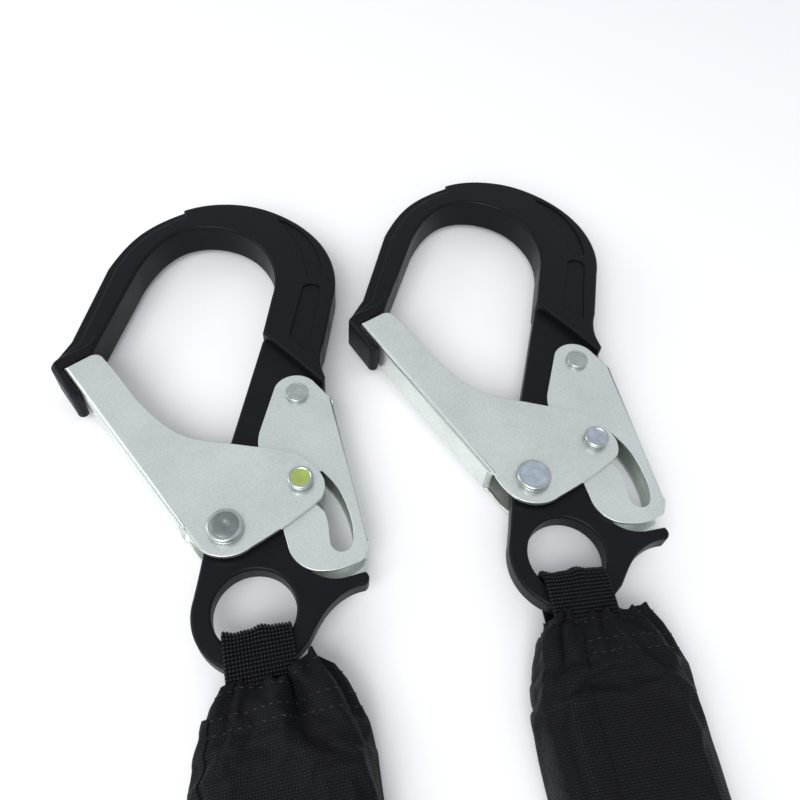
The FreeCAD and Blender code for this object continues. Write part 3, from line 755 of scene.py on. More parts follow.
def turned_steel(name, colour, rough, rings):
    """A rivet's face: bright zinc with turning marks round its axis, as strong as rings says."""
    material, graph, shader = new_material(name, Metallic=0.92)
    place = object_coordinates(graph)
    grain = group_node(graph, "grain", Vector=place, Grain_size=0.0005, Blotch_size=0.004)
    kept = graph.node("ShaderNodeAttribute", {"attribute_name": "turned_radius"}).outputs["Fac"]
    ring_pitch = 0.00045
    wave = graph.math("SINE", graph.math("MULTIPLY", kept, 2 * math.pi / ring_pitch))
    marks = graph.math("MULTIPLY", wave, rings)
    shade = graph.math("ADD", grain.outputs["Blotch"], graph.math("MULTIPLY", marks, 0.25))
    graph.put(graph.mix(graph.remap(shade, 0.3, 0.7, 0.0, 1.0), tone(colour, 0.78), tone(colour, 1.08)),
              shader.inputs["Base Color"])
    graph.put(graph.remap(grain.outputs["Grain"], 0.3, 0.7, rough - 0.05, rough + 0.08),
              shader.inputs["Roughness"])
    height = graph.math("ADD", graph.math("MULTIPLY", marks, 0.5), grain.outputs["Grain"])
    bump(graph, height, 0.00005, 0.5, shader)
    return material


def dyed_textile(name, colour, rough, pitch, relief, sheen=0.06):
    """Dyed cloth or webbing: a plain weave on the piece's own UV map, with a slight sheen. Its colour is
    painted lighter on the raised threads and the warp, as painted highlight, and darker in the hollows between
    threads, as painted shade.
    """
    material, graph, shader = new_material(name, Specular_IOR_Level=0.12, Sheen_Weight=sheen,
                                           Sheen_Roughness=0.4, Sheen_Tint=(0.75, 0.78, 0.85, 1.0))
    surface = graph.node("ShaderNodeUVMap", {"uv_map": "Weave"}).outputs[0]
    weave = group_node(graph, "weave", Vector=surface, Pitch=pitch)
    grain = group_node(graph, "grain", Vector=object_coordinates(graph), Grain_size=0.0006, Blotch_size=0.02)
    fullness = graph.remap(grain.outputs["Grain"], 0.2, 0.8, 0.6, 1.2)
    raised = graph.math("MULTIPLY", weave.outputs["Height"], fullness)
    warped = graph.math("MULTIPLY", raised, graph.remap(weave.outputs["Warp"], 0.0, 1.0, 0.72, 1.0))
    slow = graph.remap(grain.outputs["Blotch"], 0.3, 0.7, 0.85, 1.15)
    painted_weave_light = graph.math("MULTIPLY", warped, slow)
    # painted highlight and shade: the colour goes from 0.3 to 2.4 times the cloth colour with the threads'
    # height, lightest on the crowns and darkest in the hollows
    graph.put(graph.mix(painted_weave_light, tone(colour, 0.3), tone(colour, 2.4)), shader.inputs["Base Color"])
    graph.put(graph.remap(warped, 0.0, 1.0, rough + 0.12, rough - 0.1), shader.inputs["Roughness"])
    bump(graph, warped, relief, 0.9, shader)
    return material


def fine_grained(name, colour, rough, metallic=1.0):
    """Round stock, turned alloy or thread: a fine grain and slightly uneven gloss."""
    material, graph, shader = new_material(name, Metallic=metallic)
    place = object_coordinates(graph)
    grain = group_node(graph, "grain", Vector=place, Grain_size=0.0004, Blotch_size=0.008)
    graph.put(graph.mix(grain.outputs["Blotch"], tone(colour, 0.75), tone(colour, 1.15)),
              shader.inputs["Base Color"])
    graph.put(graph.remap(grain.outputs["Grain"], 0.3, 0.7, rough - 0.06, rough + 0.1),
              shader.inputs["Roughness"])
    bump(graph, grain.outputs["Grain"], 0.00004, 0.4, shader)
    return material


def looped_pile(name, colour):
    """The fuzzy half of a hook-and-loop tape."""
    material, graph, shader = new_material(name, Specular_IOR_Level=0.1, Roughness=0.95, Sheen_Weight=0.12)
    place = object_coordinates(graph)
    grain = group_node(graph, "grain", Vector=place, Grain_size=0.0005, Blotch_size=0.003)
    fuzz = graph.math("ADD", grain.outputs["Grain"], graph.math("MULTIPLY", grain.outputs["Blotch"], 0.5))
    graph.put(graph.mix(graph.remap(fuzz, 0.55, 0.95, 0.0, 1.0), tone(colour, 0.2), tone(colour, 2.4)),
              shader.inputs["Base Color"])
    bump(graph, fuzz, 0.0006, 1.0, shader)
    return material


# ---------------------------------------------------------------- settings

class LanyardSizes(PropertyGroup):
    bow_edge: FloatProperty(name="Bow edge radius", description="Rounding of the hook's thick edges",
                            default=0.0015, unit="LENGTH")
    fold_radius: FloatProperty(name="Fold radius", description="Outer radius of the folded sheet channels",
                               default=0.0021, unit="LENGTH")


class LanyardColours(PropertyGroup):
    paint: FloatVectorProperty(name="Hook coating", description="Colour of the hooks' satin coating",
                               subtype="COLOR", size=3, default=(0.0048, 0.0050, 0.0066))
    zinc: FloatVectorProperty(name="Zinc plating", description="Colour of the plated gates and levers",
                              subtype="COLOR", size=3, default=(0.750, 0.795, 0.760))
    latch: FloatVectorProperty(name="Latch tint", description="Yellow-green face of the left latch pin",
                               subtype="COLOR", size=3, default=(0.56, 0.68, 0.20))
    cloth: FloatVectorProperty(name="Cover cloth", description="Colour of the covers and the webbing",
                               subtype="COLOR", size=3, default=(0.0058, 0.0060, 0.0068))
    floor: FloatVectorProperty(name="Floor", description="Colour of the plain floor",
                               subtype="COLOR", size=3, default=(0.93, 0.935, 0.94))


# ---------------------------------------------------------------- hooks

# raised lines on both faces of a hook: round the beak's lip, and down the arm from the crown's step
LIP_RIDGE = [(-60.0, 134.5), (-61.0, 130.5), (-63.5, 127.5), (-70.5, 124.0), (-75.2, 121.2), (-76.0, 118.6),
             (-72.8, 112.2), (-69.6, 106.2)]
ARM_RIDGE = [(-20.5, 207.5), (-27.5, 204.5), (-34.5, 199.0), (-41.5, 191.0), (-47.0, 183.0), (-51.5, 170.0),
         (-56.0, 158.0), (-60.5, 144.5), (-63.5, 134.5)]
STOP_SPOT = (-68.0, 104.2)
STOP_PROFILE = [(0.0, 8.5), (0.9, 8.4), (1.5, 8.0), (1.8, 7.3)]
# half thicknesses of the spine, the band and the bow, and the floor of the seats in the spine's upper face
SPINE_HALF = 4.3
SEAT_FLOOR = -0.86
BAND_HALF = 7.5
BOW_HALF = 8.5
# the heights at which a hook is cut for the outlines of its bow, its band, its spine and its seats
BOW_CUT, BAND_CUT, SPINE_CUT, SEAT_CUT = 8.0, 6.0, -3.0, 2.0
# the rounding of the recesses' edges, the band's, the spine's and its holes', and the area above which an
# outline isn't a hole
RECESS_EDGE, BAND_EDGE, SPINE_EDGE, HOLE_EDGE = 0.5, 0.9, 1.3, 0.3
LARGE_OUTLINE = 500.0
# where the two channels fold, and half their widths
GATE_FOLD, GATE_HALF = ((-72.5, 117.0), (-25.5, 35.8)), 8.2
LEVER_FOLD, LEVER_HALF = ((40.2, 86.0), (45.6, 20.4)), 5.9
# the turned heads as (radius, height), and the radii of their faces
GATE_HEAD = [(0.0, 11.45), (1.1, 11.45), (1.5, 11.7), (2.6, 11.85), (4.3, 11.75), (5.2, 11.5), (5.6, 11.28),
             (5.9, 11.4), (6.4, 11.35), (6.85, 11.0), (7.12, 10.4), (7.2, 9.8), (7.1, 9.2), (6.3, 9.0),
             (6.3, 8.25), (4.0, 8.25)]
LATCH_HEAD = [(0.0, 11.2), (2.6, 11.22), (3.7, 11.15), (3.9, 11.2), (4.1, 11.5), (4.5, 11.58), (4.9, 11.4),
              (5.13, 11.0), (5.2, 10.5), (5.1, 9.3), (4.4, 9.1), (4.4, 8.15), (2.0, 8.15)]
LEVER_HEAD = [(0.0, 8.0), (2.6, 8.02), (3.6, 7.98), (3.85, 7.72), (4.05, 7.95), (4.4, 7.98), (4.75, 7.7),
              (4.9, 7.2), (4.8, 6.8), (4.2, 6.65), (4.2, 5.95), (3.0, 5.95)]
GATE_FACE, LATCH_FACE, LEVER_FACE = 5.6, 3.9, 3.6


def tucked(loops, cover, depth=0.8):
    """The outlines, drawn in wherever they run along one of the covering outlines."""
    result = []
    for loop in loops:
        near = np.min([distances(loop, other) for other in cover], axis=0) < 0.1
        result.append(loop + inward(loop) * (depth * near[:, None]))
    return result


class LANYARD_OT_hook_bodies(Operator):
    """Adds the two forged hook bodies with rounded edges"""
    bl_idname = "lanyard.hook_bodies"
    bl_label = "Hook bodies"

    def execute(self, context):
        sizes = context.scene.lanyard_sizes
        paint = painted_alloy("Black satin coating", context.scene.lanyard_colours.paint, 0.42)
        for side in SIDES:
            node = side + "_hook_body"
            place = hook_frame(side)
            bow, strip, spine, seats = [outlines_at(node, place, height)
                                        for height in (BOW_CUT, BAND_CUT, SPINE_CUT, SEAT_CUT)]
            work = bmesh.new()
            edge = sizes.bow_edge / MM
            outer = max(range(len(bow)), key=lambda index: abs(signed_area(bow[index])))
            rounded_slab(work, bow, -BOW_HALF, BOW_HALF,
                         [edge if index == outer else RECESS_EDGE for index in range(len(bow))])
            rounded_slab(work, tucked(strip, bow), -BAND_HALF, BAND_HALF, [BAND_EDGE] * len(strip))
            for loops, low, high, ends in ((spine, -SPINE_HALF, SEAT_FLOOR, (True, False)),
                                           (seats, SEAT_FLOOR, SPINE_HALF, (False, True))):
                radii = [SPINE_EDGE if abs(signed_area(loop)) > LARGE_OUTLINE else HOLE_EDGE for loop in loops]
                rounded_slab(work, tucked(loops, strip), low, high, radii, ends)
            work.transform(place)
            name = side + "_forged_hook"
            piece = weighted(link(mesh_from(work, name), name, paint))
            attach(piece, side + "_hook")
            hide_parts(node)
        return {"FINISHED"}


class LANYARD_OT_channels(Operator):
    """Adds the folded sheet gates and lock levers"""
    bl_idname = "lanyard.channels"
    bl_label = "Gates and levers"

    def execute(self, context):
        radius = context.scene.lanyard_sizes.fold_radius / MM
        zinc = plated_steel("Zinc plated sheet", context.scene.lanyard_colours.zinc, 0.34)
        for side in SIDES:
            place = hook_frame(side)
            for node, name, body, line, half in (
                ("_gate", "_gate_channel", "_gate", GATE_FOLD, GATE_HALF),
                ("_lock_lever", "_lever_channel", "_lever", LEVER_FOLD, LEVER_HALF),
            ):
                piece = folded_copy(side + node, side + name, zinc, place, line, half, radius)
                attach(piece, side + body)
                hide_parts(side + node)
        return {"FINISHED"}


class LANYARD_OT_rivets(Operator):
    """Adds the turned heads of the pivots and latch pins"""
    bl_idname = "lanyard.rivets"
    bl_label = "Rivets"

    def execute(self, context):
        colours = context.scene.lanyard_colours
        plain = turned_steel("Turned zinc face", (0.50, 0.54, 0.53), 0.3, 0.2)
        ringed = turned_steel("Spiral turned face", (0.26, 0.29, 0.28), 0.34, 1.0)
        cool = turned_steel("Bright turned face", (0.55, 0.62, 0.70), 0.28, 0.15)
        tinted = turned_steel("Yellow-green passivation", colours.latch, 0.32, 0.15)
        for side in SIDES:
            place = hook_frame(side)
            for node, body, slot, middle, profile, face in (
                ("_gate_rivet", "_hook", "rivet_steel", GATE_PIVOT, GATE_HEAD,
                 (ringed if side == "left" else cool, GATE_FACE)),
                ("_latch_pin", "_gate", "latch_steel" if side == "left" else "rivet_steel", LATCH, LATCH_HEAD,
                 (tinted if side == "left" else cool, LATCH_FACE)),
                ("_lever_rivet", "_hook", "rivet_steel", LEVER_PIVOT, LEVER_HEAD, (plain, LEVER_FACE)),
            ):
                piece = lathe(side + node + "_turned", both_ends(profile), middle, place, plain, face)
                weighted(piece, 30)
                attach(piece, side + body)
                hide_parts(side + node)
        return {"FINISHED"}


# the eye band's path as (along the leg, height), and half its width
EYE_BAND_HALF = 12.6
EYE_BAND_PATH = [(-50.0, 14.6), (-40.0, 15.2), (-31.0, 16.8), (-24.0, 18.0), (-17.0, 18.15), (-11.6, 17.9),
                 (-8.2, 16.3), (-7.0, 12.0), (-8.2, 7.7), (-11.6, 6.1), (-17.0, 5.85), (-24.0, 6.0),
                 (-31.0, 8.4), (-40.0, 11.0), (-50.0, 11.8)]


def crest_sway(x, spot):
    """The eye band's crest is not quite straight across."""
    near = math.exp(-((spot[0] + 7.0) / 6.0) ** 2)
    return near * (0.55 * math.sin(0.42 * x + 0.9) + 0.25 * math.sin(0.95 * x))


def webbing_materials(colour):
    """The webbing's ground, painted at half the cloth colour as shade between the yarns, and its raised yarns,
    painted lighter as highlight.
    """
    if "Webbing yarn" not in bpy.data.materials:
        # painted shade: the ground between the yarns is given half the cloth colour
        dyed_textile("Webbing ground", tone(colour, 0.5)[:3], 0.7, 0.0004, 0.00005, 0.03)
        material, graph, shader = new_material("Webbing yarn", Specular_IOR_Level=0.3)
        place = object_coordinates(graph)
        grain = group_node(graph, "grain", Vector=place, Grain_size=0.0004, Blotch_size=0.006)
        # painted highlight: the raised yarns are given 1.2 to 3.4 times the cloth colour
        graph.put(graph.mix(grain.outputs["Blotch"], tone(colour, 1.2), tone(colour, 3.4)),
                  shader.inputs["Base Color"])
        graph.put(graph.remap(grain.outputs["Grain"], 0.3, 0.7, 0.42, 0.62), shader.inputs["Roughness"])
        bump(graph, grain.outputs["Grain"], 0.00012, 0.6, shader)
    return bpy.data.materials["Webbing ground"], bpy.data.materials["Webbing yarn"]


class LANYARD_OT_eye_bands(Operator):
    """Adds the webbing through each hook's eye"""
    bl_idname = "lanyard.eye_bands"
    bl_label = "Eye webbing"

    def execute(self, context):
        webbing, yarn = webbing_materials(context.scene.lanyard_colours.cloth)
        for side in SIDES:
            place = leg_frame(side)
            piece = woven_band(side + "_eye_band", EYE_BAND_PATH, EYE_BAND_HALF, place, webbing, yarn,
                               crest_sway)
            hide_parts(side + "_eye_webbing")
            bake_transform(piece, side + "_leg", side + "_hook", place @ Vector((0.0, -34.0, HOOK_MIDDLE)),
                     place @ Vector((0.0, -22.0, HOOK_MIDDLE)))
        return {"FINISHED"}


# a cover's rings: distance along the leg, half width, half height
COVER_RINGS = ((-15.0, 17.0, 9.2), (-25.0, 19.0, 9.8), (-31.0, 22.8, 10.8), (-38.0, 25.6, 11.6),
               (-46.0, 28.6, 12.3), (-56.0, 31.0, 12.7), (-76.0, 31.4, 12.7), (-137.0, 31.0, 12.7),
               (-160.0, 27.5, 11.2), (-172.0, 24.0, 9.6))
# the cover's centre across the leg and above the floor, its gathered ring, where its grid grows coarser, its
# foot, its columns, its width laid flat and the lowest that its middle surface lies
COVER_MIDDLE = (4.0, 13.0)
GATHER = -38.0
SHOULDER = -60.0
FOOT = -172.0
COVER_COLUMNS = 132
COVER_ROUND = 148.0
COVER_LOWEST = 0.62
# the cloth is settled at this many times its size, where the solver's distances suit it
CLOTH_SCALE = 10.0
FALL_FRAMES = 18
CACHE_FRAMES = 22
FALL_GRAVITY = 0.12
FALL_FARTHEST = 4.0
FALL_SETTINGS = {"quality": 6, "mass": 0.25, "tension_stiffness": 25.0, "compression_stiffness": 25.0,
                 "shear_stiffness": 8.0, "bending_stiffness": 1.2, "air_damping": 2.0, "shrink_min": -0.02,
                 "vertex_group_mass": "held", "use_pressure": True, "uniform_pressure_force": 0.06}
# what the cloth falls on, as lowest and highest corners: the floor, the folded pack and the eye webbing
FALL_BLOCKS = (((-400.0, -600.0, -30.0), (400.0, 400.0, 0.0)), ((-16.0, -150.0, 4.0), (24.0, -48.0, 22.0)),
               ((-12.4, -50.0, 7.0), (12.4, -10.0, 17.6)))
# the grid's rows with stitching, and a side's tape and flap: the tape's two edges and the flap's far edge in
# degrees round the cover, and the grid row at which both begin
SEAM_ROWS = {"hem": 3, "upper": 11, "lower": 15}
SEAM_STITCH, SEAM_GAP = (2.2, 0.5, 0.24), 1.1
TAPES = {"left": (216.0, 180.0, 150.0, 10), "right": (208.0, 149.0, 112.0, 5)}


def hump(value, middle, width):
    """A smooth rise to 1 at the middle."""
    return np.exp(-((value - middle) / width) ** 2)


def cover_grid(side):
    """The gathered cover's points, ring by ring from its ruffled edge, and each column's angle in degrees."""
    turns = np.linspace(0.0, 2 * math.pi, 721)
    along = lengths_along(np.stack([31.4 * np.cos(turns), 12.7 * np.sin(turns)], axis=1))
    share = np.arange(COVER_COLUMNS) / COVER_COLUMNS
    theta = np.interp(share * along[-1], along, turns)
    degrees = np.degrees(theta)
    if side == "left":
        edge = -25.5 + 7.0 * np.exp(-((degrees - 40.0) / 25.0) ** 4) + 1.6 * hump(degrees, 118.0, 16.0)
        edge -= 1.5 * hump(degrees, 80.0, 9.0)
        phase, folds = 0.35, 9
    else:
        edge = -24.0 + 1.1 * np.sin(6 * theta + 0.7) + 1.5 * hump(degrees, 40.0, 20.0)
        phase, folds = 0.1, 12
    edge = edge + 0.5 * np.sin(11 * theta + 1.0)
    table = np.array(COVER_RINGS)[::-1]
    rows = [edge * (1.0 - part) + GATHER * part for part in np.linspace(0.0, 1.0, 14)]
    levels = list(np.linspace(GATHER, SHOULDER, 17))[1:] + list(np.linspace(SHOULDER, FOOT, 47))[1:]
    rows += [np.full(COVER_COLUMNS, level) for level in levels]
    down = np.array(rows)
    half_wide = np.interp(down, table[:, 0], table[:, 1])
    half_high = np.interp(down, table[:, 0], table[:, 2])
    wander = folds * share + phase + 0.16 * np.sin(4 * math.pi * share + 1.0)
    wander = wander + 0.1 * np.sin(6 * math.pi * share)
    pleat = 2.0 * np.abs(np.sin(math.pi * wander)) ** 0.8 - 1.1
    pleat = pleat * (0.75 + 0.3 * np.sin(10 * math.pi * share + 0.7))
    below = np.clip(GATHER - down, 0.0, None)
    above = np.clip(down - GATHER, 0.0, None)
    depth = np.where(down < GATHER, 1.5 * np.exp(-below / 24.0), 1.5 + 0.09 * above)
    push = depth * pleat
    broad = np.sin(2 * math.pi * (5 * share + 0.13) + 0.03 * down)
    broad = broad + 0.6 * np.sin(2 * math.pi * 8 * share - 0.05 * down)
    push = push + 1.15 * broad * np.exp(-np.abs(down + 58.0) / 34.0)
    push = push + 0.35 * np.sin(2 * math.pi * 3 * share + 0.07 * down) * (down < GATHER)
    if side == "left":
        cleft = np.exp(-((down + 33.0) / 11.0) ** 2)
        push = push - 4.2 * cleft * hump(degrees, 73.0, 8.0) + 2.2 * cleft * hump(degrees, 45.0, 16.0)
        crease = 112.0 + 0.5 * (down + 44.0)
        push = push - 1.8 * np.exp(-((down + 44.0) / 12.0) ** 2) * hump(degrees, crease, 9.0)
    x = COVER_MIDDLE[0] + half_wide * np.cos(theta)
    z = COVER_MIDDLE[1] + half_high * np.sin(theta)
    out_x, out_z = np.cos(theta) / half_wide, np.sin(theta) / half_high
    size = np.hypot(out_x, out_z)
    x = x + push * out_x / size
    z = np.maximum(z + push * out_z / size, 0.6)
    return np.stack([x, down, z], axis=2), degrees


def settled_cover(grid):
    """The grid after a short fall as cloth on the floor, the pack and the webbing. Its gathered ring and its
    foot are held."""
    scale = MM * CLOTH_SCALE
    count = grid.shape[0] * grid.shape[1]
    mesh = bpy.data.meshes.new("falling_cloth")
    index = np.arange(count).reshape(grid.shape[:2])
    after = np.roll(index, -1, axis=1)
    quads = np.stack([index[:-1], index[1:], after[1:], after[:-1]], axis=-1).reshape(-1, 4)
    mesh.from_pydata((grid.reshape(-1, 3) * scale).tolist(), [], quads.tolist())
    cloth = link(mesh, "falling_cloth")
    held = cloth.vertex_groups.new(name="held")
    pinned = (np.abs(grid[:, :, 1] - GATHER) < 1.0) | (grid[:, :, 1] < FOOT + 3.0)
    held.add(index[pinned].tolist(), 1.0, "REPLACE")
    blocks = []
    for low, high in FALL_BLOCKS:
        work = bmesh.new()
        bmesh.ops.create_cube(work, size=1.0)
        for vert in work.verts:
            vert.co = Vector([scale * (a if part < 0 else b) for part, a, b in zip(vert.co, low, high)])
        block = link(mesh_from(work, "block", False), "block")
        block.modifiers.new("Block", "COLLISION")
        block.collision.thickness_outer = 0.002
        block.collision.cloth_friction = 20.0
        blocks.append(block)
    fall = cloth.modifiers.new("Cloth", "CLOTH")
    for key, value in FALL_SETTINGS.items():
        setattr(fall.settings, key, value)
    fall.settings.effector_weights.gravity = FALL_GRAVITY
    fall.collision_settings.distance_min = 0.004
    fall.collision_settings.collision_quality = 2
    scene = bpy.context.scene
    scene.frame_start, scene.frame_end = 1, CACHE_FRAMES
    fall.point_cache.frame_start, fall.point_cache.frame_end = 1, CACHE_FRAMES
    for frame_number in range(1, FALL_FRAMES + 1):
        scene.frame_set(frame_number)
    landed = cloth.evaluated_get(bpy.context.evaluated_depsgraph_get()).data
    spots = np.empty(count * 3)
    landed.vertices.foreach_get("co", spots)
    spots = spots.reshape(grid.shape) / scale
    for item in [cloth] + blocks:
        bpy.data.objects.remove(item)
    scene.frame_set(1)
    moved = spots - grid
    far = np.linalg.norm(moved, axis=2, keepdims=True)
    return grid + moved * np.minimum(1.0, FALL_FARTHEST / np.maximum(far, 1e-6))


def outward(grid):
    """The outward direction at every point of a cover's grid."""
    round_it = np.roll(grid, -1, axis=1) - np.roll(grid, 1, axis=1)
    down_it = np.gradient(grid, axis=0)
    facing = np.cross(round_it, down_it)
    facing /= np.maximum(np.linalg.norm(facing, axis=2, keepdims=True), 1e-9)
    middle = np.array([COVER_MIDDLE[0], 0.0, COVER_MIDDLE[1]])
    sense = np.sign((facing * (grid - middle) * np.array([1.0, 0.0, 1.0])).sum())
    return facing * sense


def flat_place(row, index):
    """A point's place on the flat cloth, or where the next column would be if the row has no more."""
    if index < len(row):
        return row[index]
    return row[-1][0] + row[1][0] - row[0][0], row[-1][1]


def cloth_patch(name, spots, flat, place, material, thick, close=False):
    """A cloth piece on a grid of points, one subdivision finer, with its thickness inside."""
    work = bmesh.new()
    uv = work.loops.layers.uv.new("Weave")
    rows = [[work.verts.new(tuple(spot)) for spot in row] for row in spots]
    columns = len(rows[0])
    for upper, lower, high, low in zip(rows, rows[1:], flat, flat[1:]):
        for index in range(columns if close else columns - 1):
            after = (index + 1) % columns
            face = work.faces.new([upper[index], lower[index], lower[after], upper[after]])
            corners = (high[index], low[index], flat_place(low, index + 1), flat_place(high, index + 1))
            for loop, value in zip(face.loops, corners):
                loop[uv].uv = (value[0] * MM, value[1] * MM)
    work.transform(place)
    work.normal_update()
    middle = place @ Vector((COVER_MIDDLE[0], -100.0, COVER_MIDDLE[1]))
    axis = (place.to_3x3() @ Vector((0.0, 1.0, 0.0))).normalized()
    sense = 0.0
    for face in work.faces:
        out = face.calc_center_median() - middle
        sense += face.normal.dot(out - axis * out.dot(axis)) * face.calc_area()
    if sense < 0.0:
        bmesh.ops.reverse_faces(work, faces=work.faces)
    piece = link(mesh_from(work, name), name, material)
    finer = piece.modifiers.new("Finer", "SUBSURF")
    finer.levels = 1
    sheet = piece.modifiers.new("Cloth thickness", "SOLIDIFY")
    sheet.thickness = thick * MM
    sheet.offset = -1.0
    settle(piece)
    spots = np.empty(len(piece.data.vertices) * 3)
    piece.data.vertices.foreach_get("co", spots)
    spots = spots.reshape(-1, 3)
    floor_gap = 0.12 * MM
    spots[:, 2] = np.maximum(spots[:, 2], floor_gap)
    piece.data.vertices.foreach_set("co", spots.ravel())
    return piece


class LANYARD_OT_covers(Operator):
    """Adds the gathered cloth covers with their elastic, tape and stitching"""
    bl_idname = "lanyard.covers"
    bl_label = "Covers"

    def execute(self, context):
        colours = context.scene.lanyard_colours
        cloth = dyed_textile("Black Oxford cloth", colours.cloth, 0.6, 0.00095, 0.0002, 0.02)
        thread = fine_grained("Black thread", (0.011, 0.011, 0.012), 0.55, 0.0)
        pile = looped_pile("Looped pile", colours.cloth)
        ribbed = dyed_textile("Elastic tape", colours.cloth, 0.7, 0.0006, 0.0001)
        for side in SIDES:
            place = leg_frame(side)
            grid, degrees = cover_grid(side)
            grid = settled_cover(grid)
            grid[:, :, 2] = np.maximum(grid[:, :, 2], COVER_LOWEST)
            facing = outward(grid)
            start = grid[:, :, 1].max()
            across = np.arange(COVER_COLUMNS) * (COVER_ROUND / COVER_COLUMNS)
            flat = [[(x, start - y) for x, y in zip(across, row[:, 1])] for row in grid]
            cover = cloth_patch(side + "_cloth_cover", grid, flat, place, cloth, 0.5, True)

            seams = [stitched(side + "_cover_seam_" + key, grid[row] + facing[row] * 0.05, facing[row], place,
                              thread, SEAM_STITCH, SEAM_GAP, True) for key, row in SEAM_ROWS.items()]
            seams = joined(side + "_cover_seams", seams)

            upper, lower = SEAM_ROWS["upper"], SEAM_ROWS["lower"]
            inset = ((upper, 1.0), (lower, 1.0), (lower, 2.2), (upper, 2.2))
            elastic = loft(side + "_cover_elastic", [grid[row] - facing[row] * deep for row, deep in inset],
                           place, ribbed, True)

            tape_from, tape_to, flap_to, first = TAPES[side]
            rows = slice(first, len(grid) - 3)
            under = [index for index in range(COVER_COLUMNS) if tape_to - 2.0 <= degrees[index] <= tape_from]
            over = [index for index in range(COVER_COLUMNS) if flap_to <= degrees[index] <= tape_to + 6.0]
            lift = np.array([0.55 + 0.5 * min(1.0, step / 3.0) for step in range(len(over))])
            tape_grid = grid[rows][:, under] + facing[rows][:, under] * 0.55
            flap_grid = grid[rows][:, over] + facing[rows][:, over] * lift[:, None]
            flap_grid[:, :, 0] -= np.sin(grid[rows, 0, 1] * 0.16)[:, None] * 0.5 * (lift > 1.0)
            tape, flap = [
                cloth_patch(side + ending, spots, [[row[index] for index in columns] for row in flat[rows]],
                            place, material, thick)
                for ending, spots, columns, material, thick in (
                    ("_loop_tape", tape_grid, under, pile, 0.5), ("_cover_flap", flap_grid, over, cloth, 0.45))]
            for piece, slot in ((cover, "cover_cloth"), (seams, "cover_cloth"), (elastic, "elastic"),
                                (tape, "hook_and_loop"), (flap, "cover_cloth")):
                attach(piece, side + "_leg")
            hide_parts(side + "_pack_cover")
            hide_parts(side + "_mouth_elastic")
            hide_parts(side + "_closure_strip")
        return {"FINISHED"}


# the folded tear webbing: the two ends of its runs, the points of a run, its lowest run and their spacing
PACK_ENDS = (-50.5, -147.5)
PACK_PARTS = (0.0, 0.02, 0.25, 0.5, 0.75, 0.98, 1.0)
PACK_RUNS = 8
PACK_LOW, PACK_RISE = 5.1, 2.25


class LANYARD_OT_absorbers(Operator):
    """Adds the folded tear webbing inside each cover"""
    bl_idname = "lanyard.absorbers"
    bl_label = "Energy absorbers"

    def execute(self, context):
        tear = dyed_textile("Tear webbing", (0.42, 0.34, 0.19), 0.75, 0.0011, 0.0002)
        for side in SIDES:
            place = leg_frame(side) @ Matrix.Translation((4.0, 0.0, 0.0))
            route = []
            for run in range(PACK_RUNS):
                height = PACK_LOW + PACK_RISE * run
                start, end = PACK_ENDS if run % 2 == 0 else PACK_ENDS[::-1]
                route += [(start + (end - start) * part, height) for part in PACK_PARTS]
                if run < PACK_RUNS - 1:
                    route.append((end + math.copysign(1.1, end - start), height + 1.12))
            piece = band(side + "_tear_webbing", smooth_path(route, 1.4), 19.6, 0.98, place, tear)
            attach(piece, side + "_leg")
            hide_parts(side + "_absorber_pack")
        return {"FINISHED"}


def rod(points, radius, height, side_of_hook, squash=1.0):
    """The rings of a round-ended rod along a path on a face of the hook, in the hook frame."""
    path = smooth_path(points, 0.8)
    along = lengths_along(path)
    rings = []
    for spot, tangent, here in zip(path, unit_tangents(path), along):
        end = min(here, along[-1] - here)
        own = radius * math.sqrt(max(0.02, 1.0 - max(0.0, 1.0 - end / (2.0 * radius)) ** 2))
        ring = []
        for step in range(14):
            turn = 2 * math.pi * step / 14
            flat = spot + np.array([-tangent[1], tangent[0]]) * own * math.cos(turn)
            ring.append((flat[0], flat[1], side_of_hook * (height + own * squash * math.sin(turn))))
        rings.append(ring)
    return rings


class LANYARD_OT_hook_ridges(Operator):
    """Adds the raised lines and the stop pin of each hook's arm and beak"""
    bl_idname = "lanyard.hook_ridges"
    bl_label = "Hook ridges"

    def execute(self, context):
        paint = bpy.data.materials["Black satin coating"]
        pin = fine_grained("Blackened pin", (0.03, 0.03, 0.032), 0.2)
        for side in SIDES:
            place = hook_frame(side)
            parts = []
            for face in (1, -1):
                lip = rod(LIP_RIDGE, 1.35, BOW_HALF - 0.75, face)
                arm = rod(ARM_RIDGE, 0.9, BAND_HALF - 0.35, face, 0.8)
                parts.append(loft(side + "_lip_line", lip, place, paint))
                parts.append(loft(side + "_arm_line", arm, place, paint))
            parts.append(lathe(side + "_stop", both_ends(STOP_PROFILE), STOP_SPOT, place, pin, None, 40))
            piece = joined(side + "_hook_ridges", parts)
            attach(piece, side + "_hook")
        return {"FINISHED"}


def connector_frame():
    """The connector frame; z = 0 is the floor."""
    swing = JOINTS["connector_swing"]
    return flat_frame(swing["pos_m"], swing["axis"])


# a strap's end round the connector's bar, from its upper run to its lower one, as (from the bar, height)
STRAP_END = [(60.0, 12.0), (33.0, 12.1), (22.0, 13.9), (12.0, 15.2), (3.0, 15.45), (-1.7, 15.4), (-6.8, 13.3),
             (-8.85, 8.3), (-6.7, 3.6), (-1.7, 1.6), (3.0, 1.5), (12.0, 1.6), (17.0, 2.6), (22.0, 5.8),
             (27.0, 8.9), (33.0, 9.95), (60.0, 10.0)]
STRAP_UPPER, STRAP_LOWER = 12.0, 10.0
STRAP_HALF = 10.0
STRAP_PITCH = 1.7
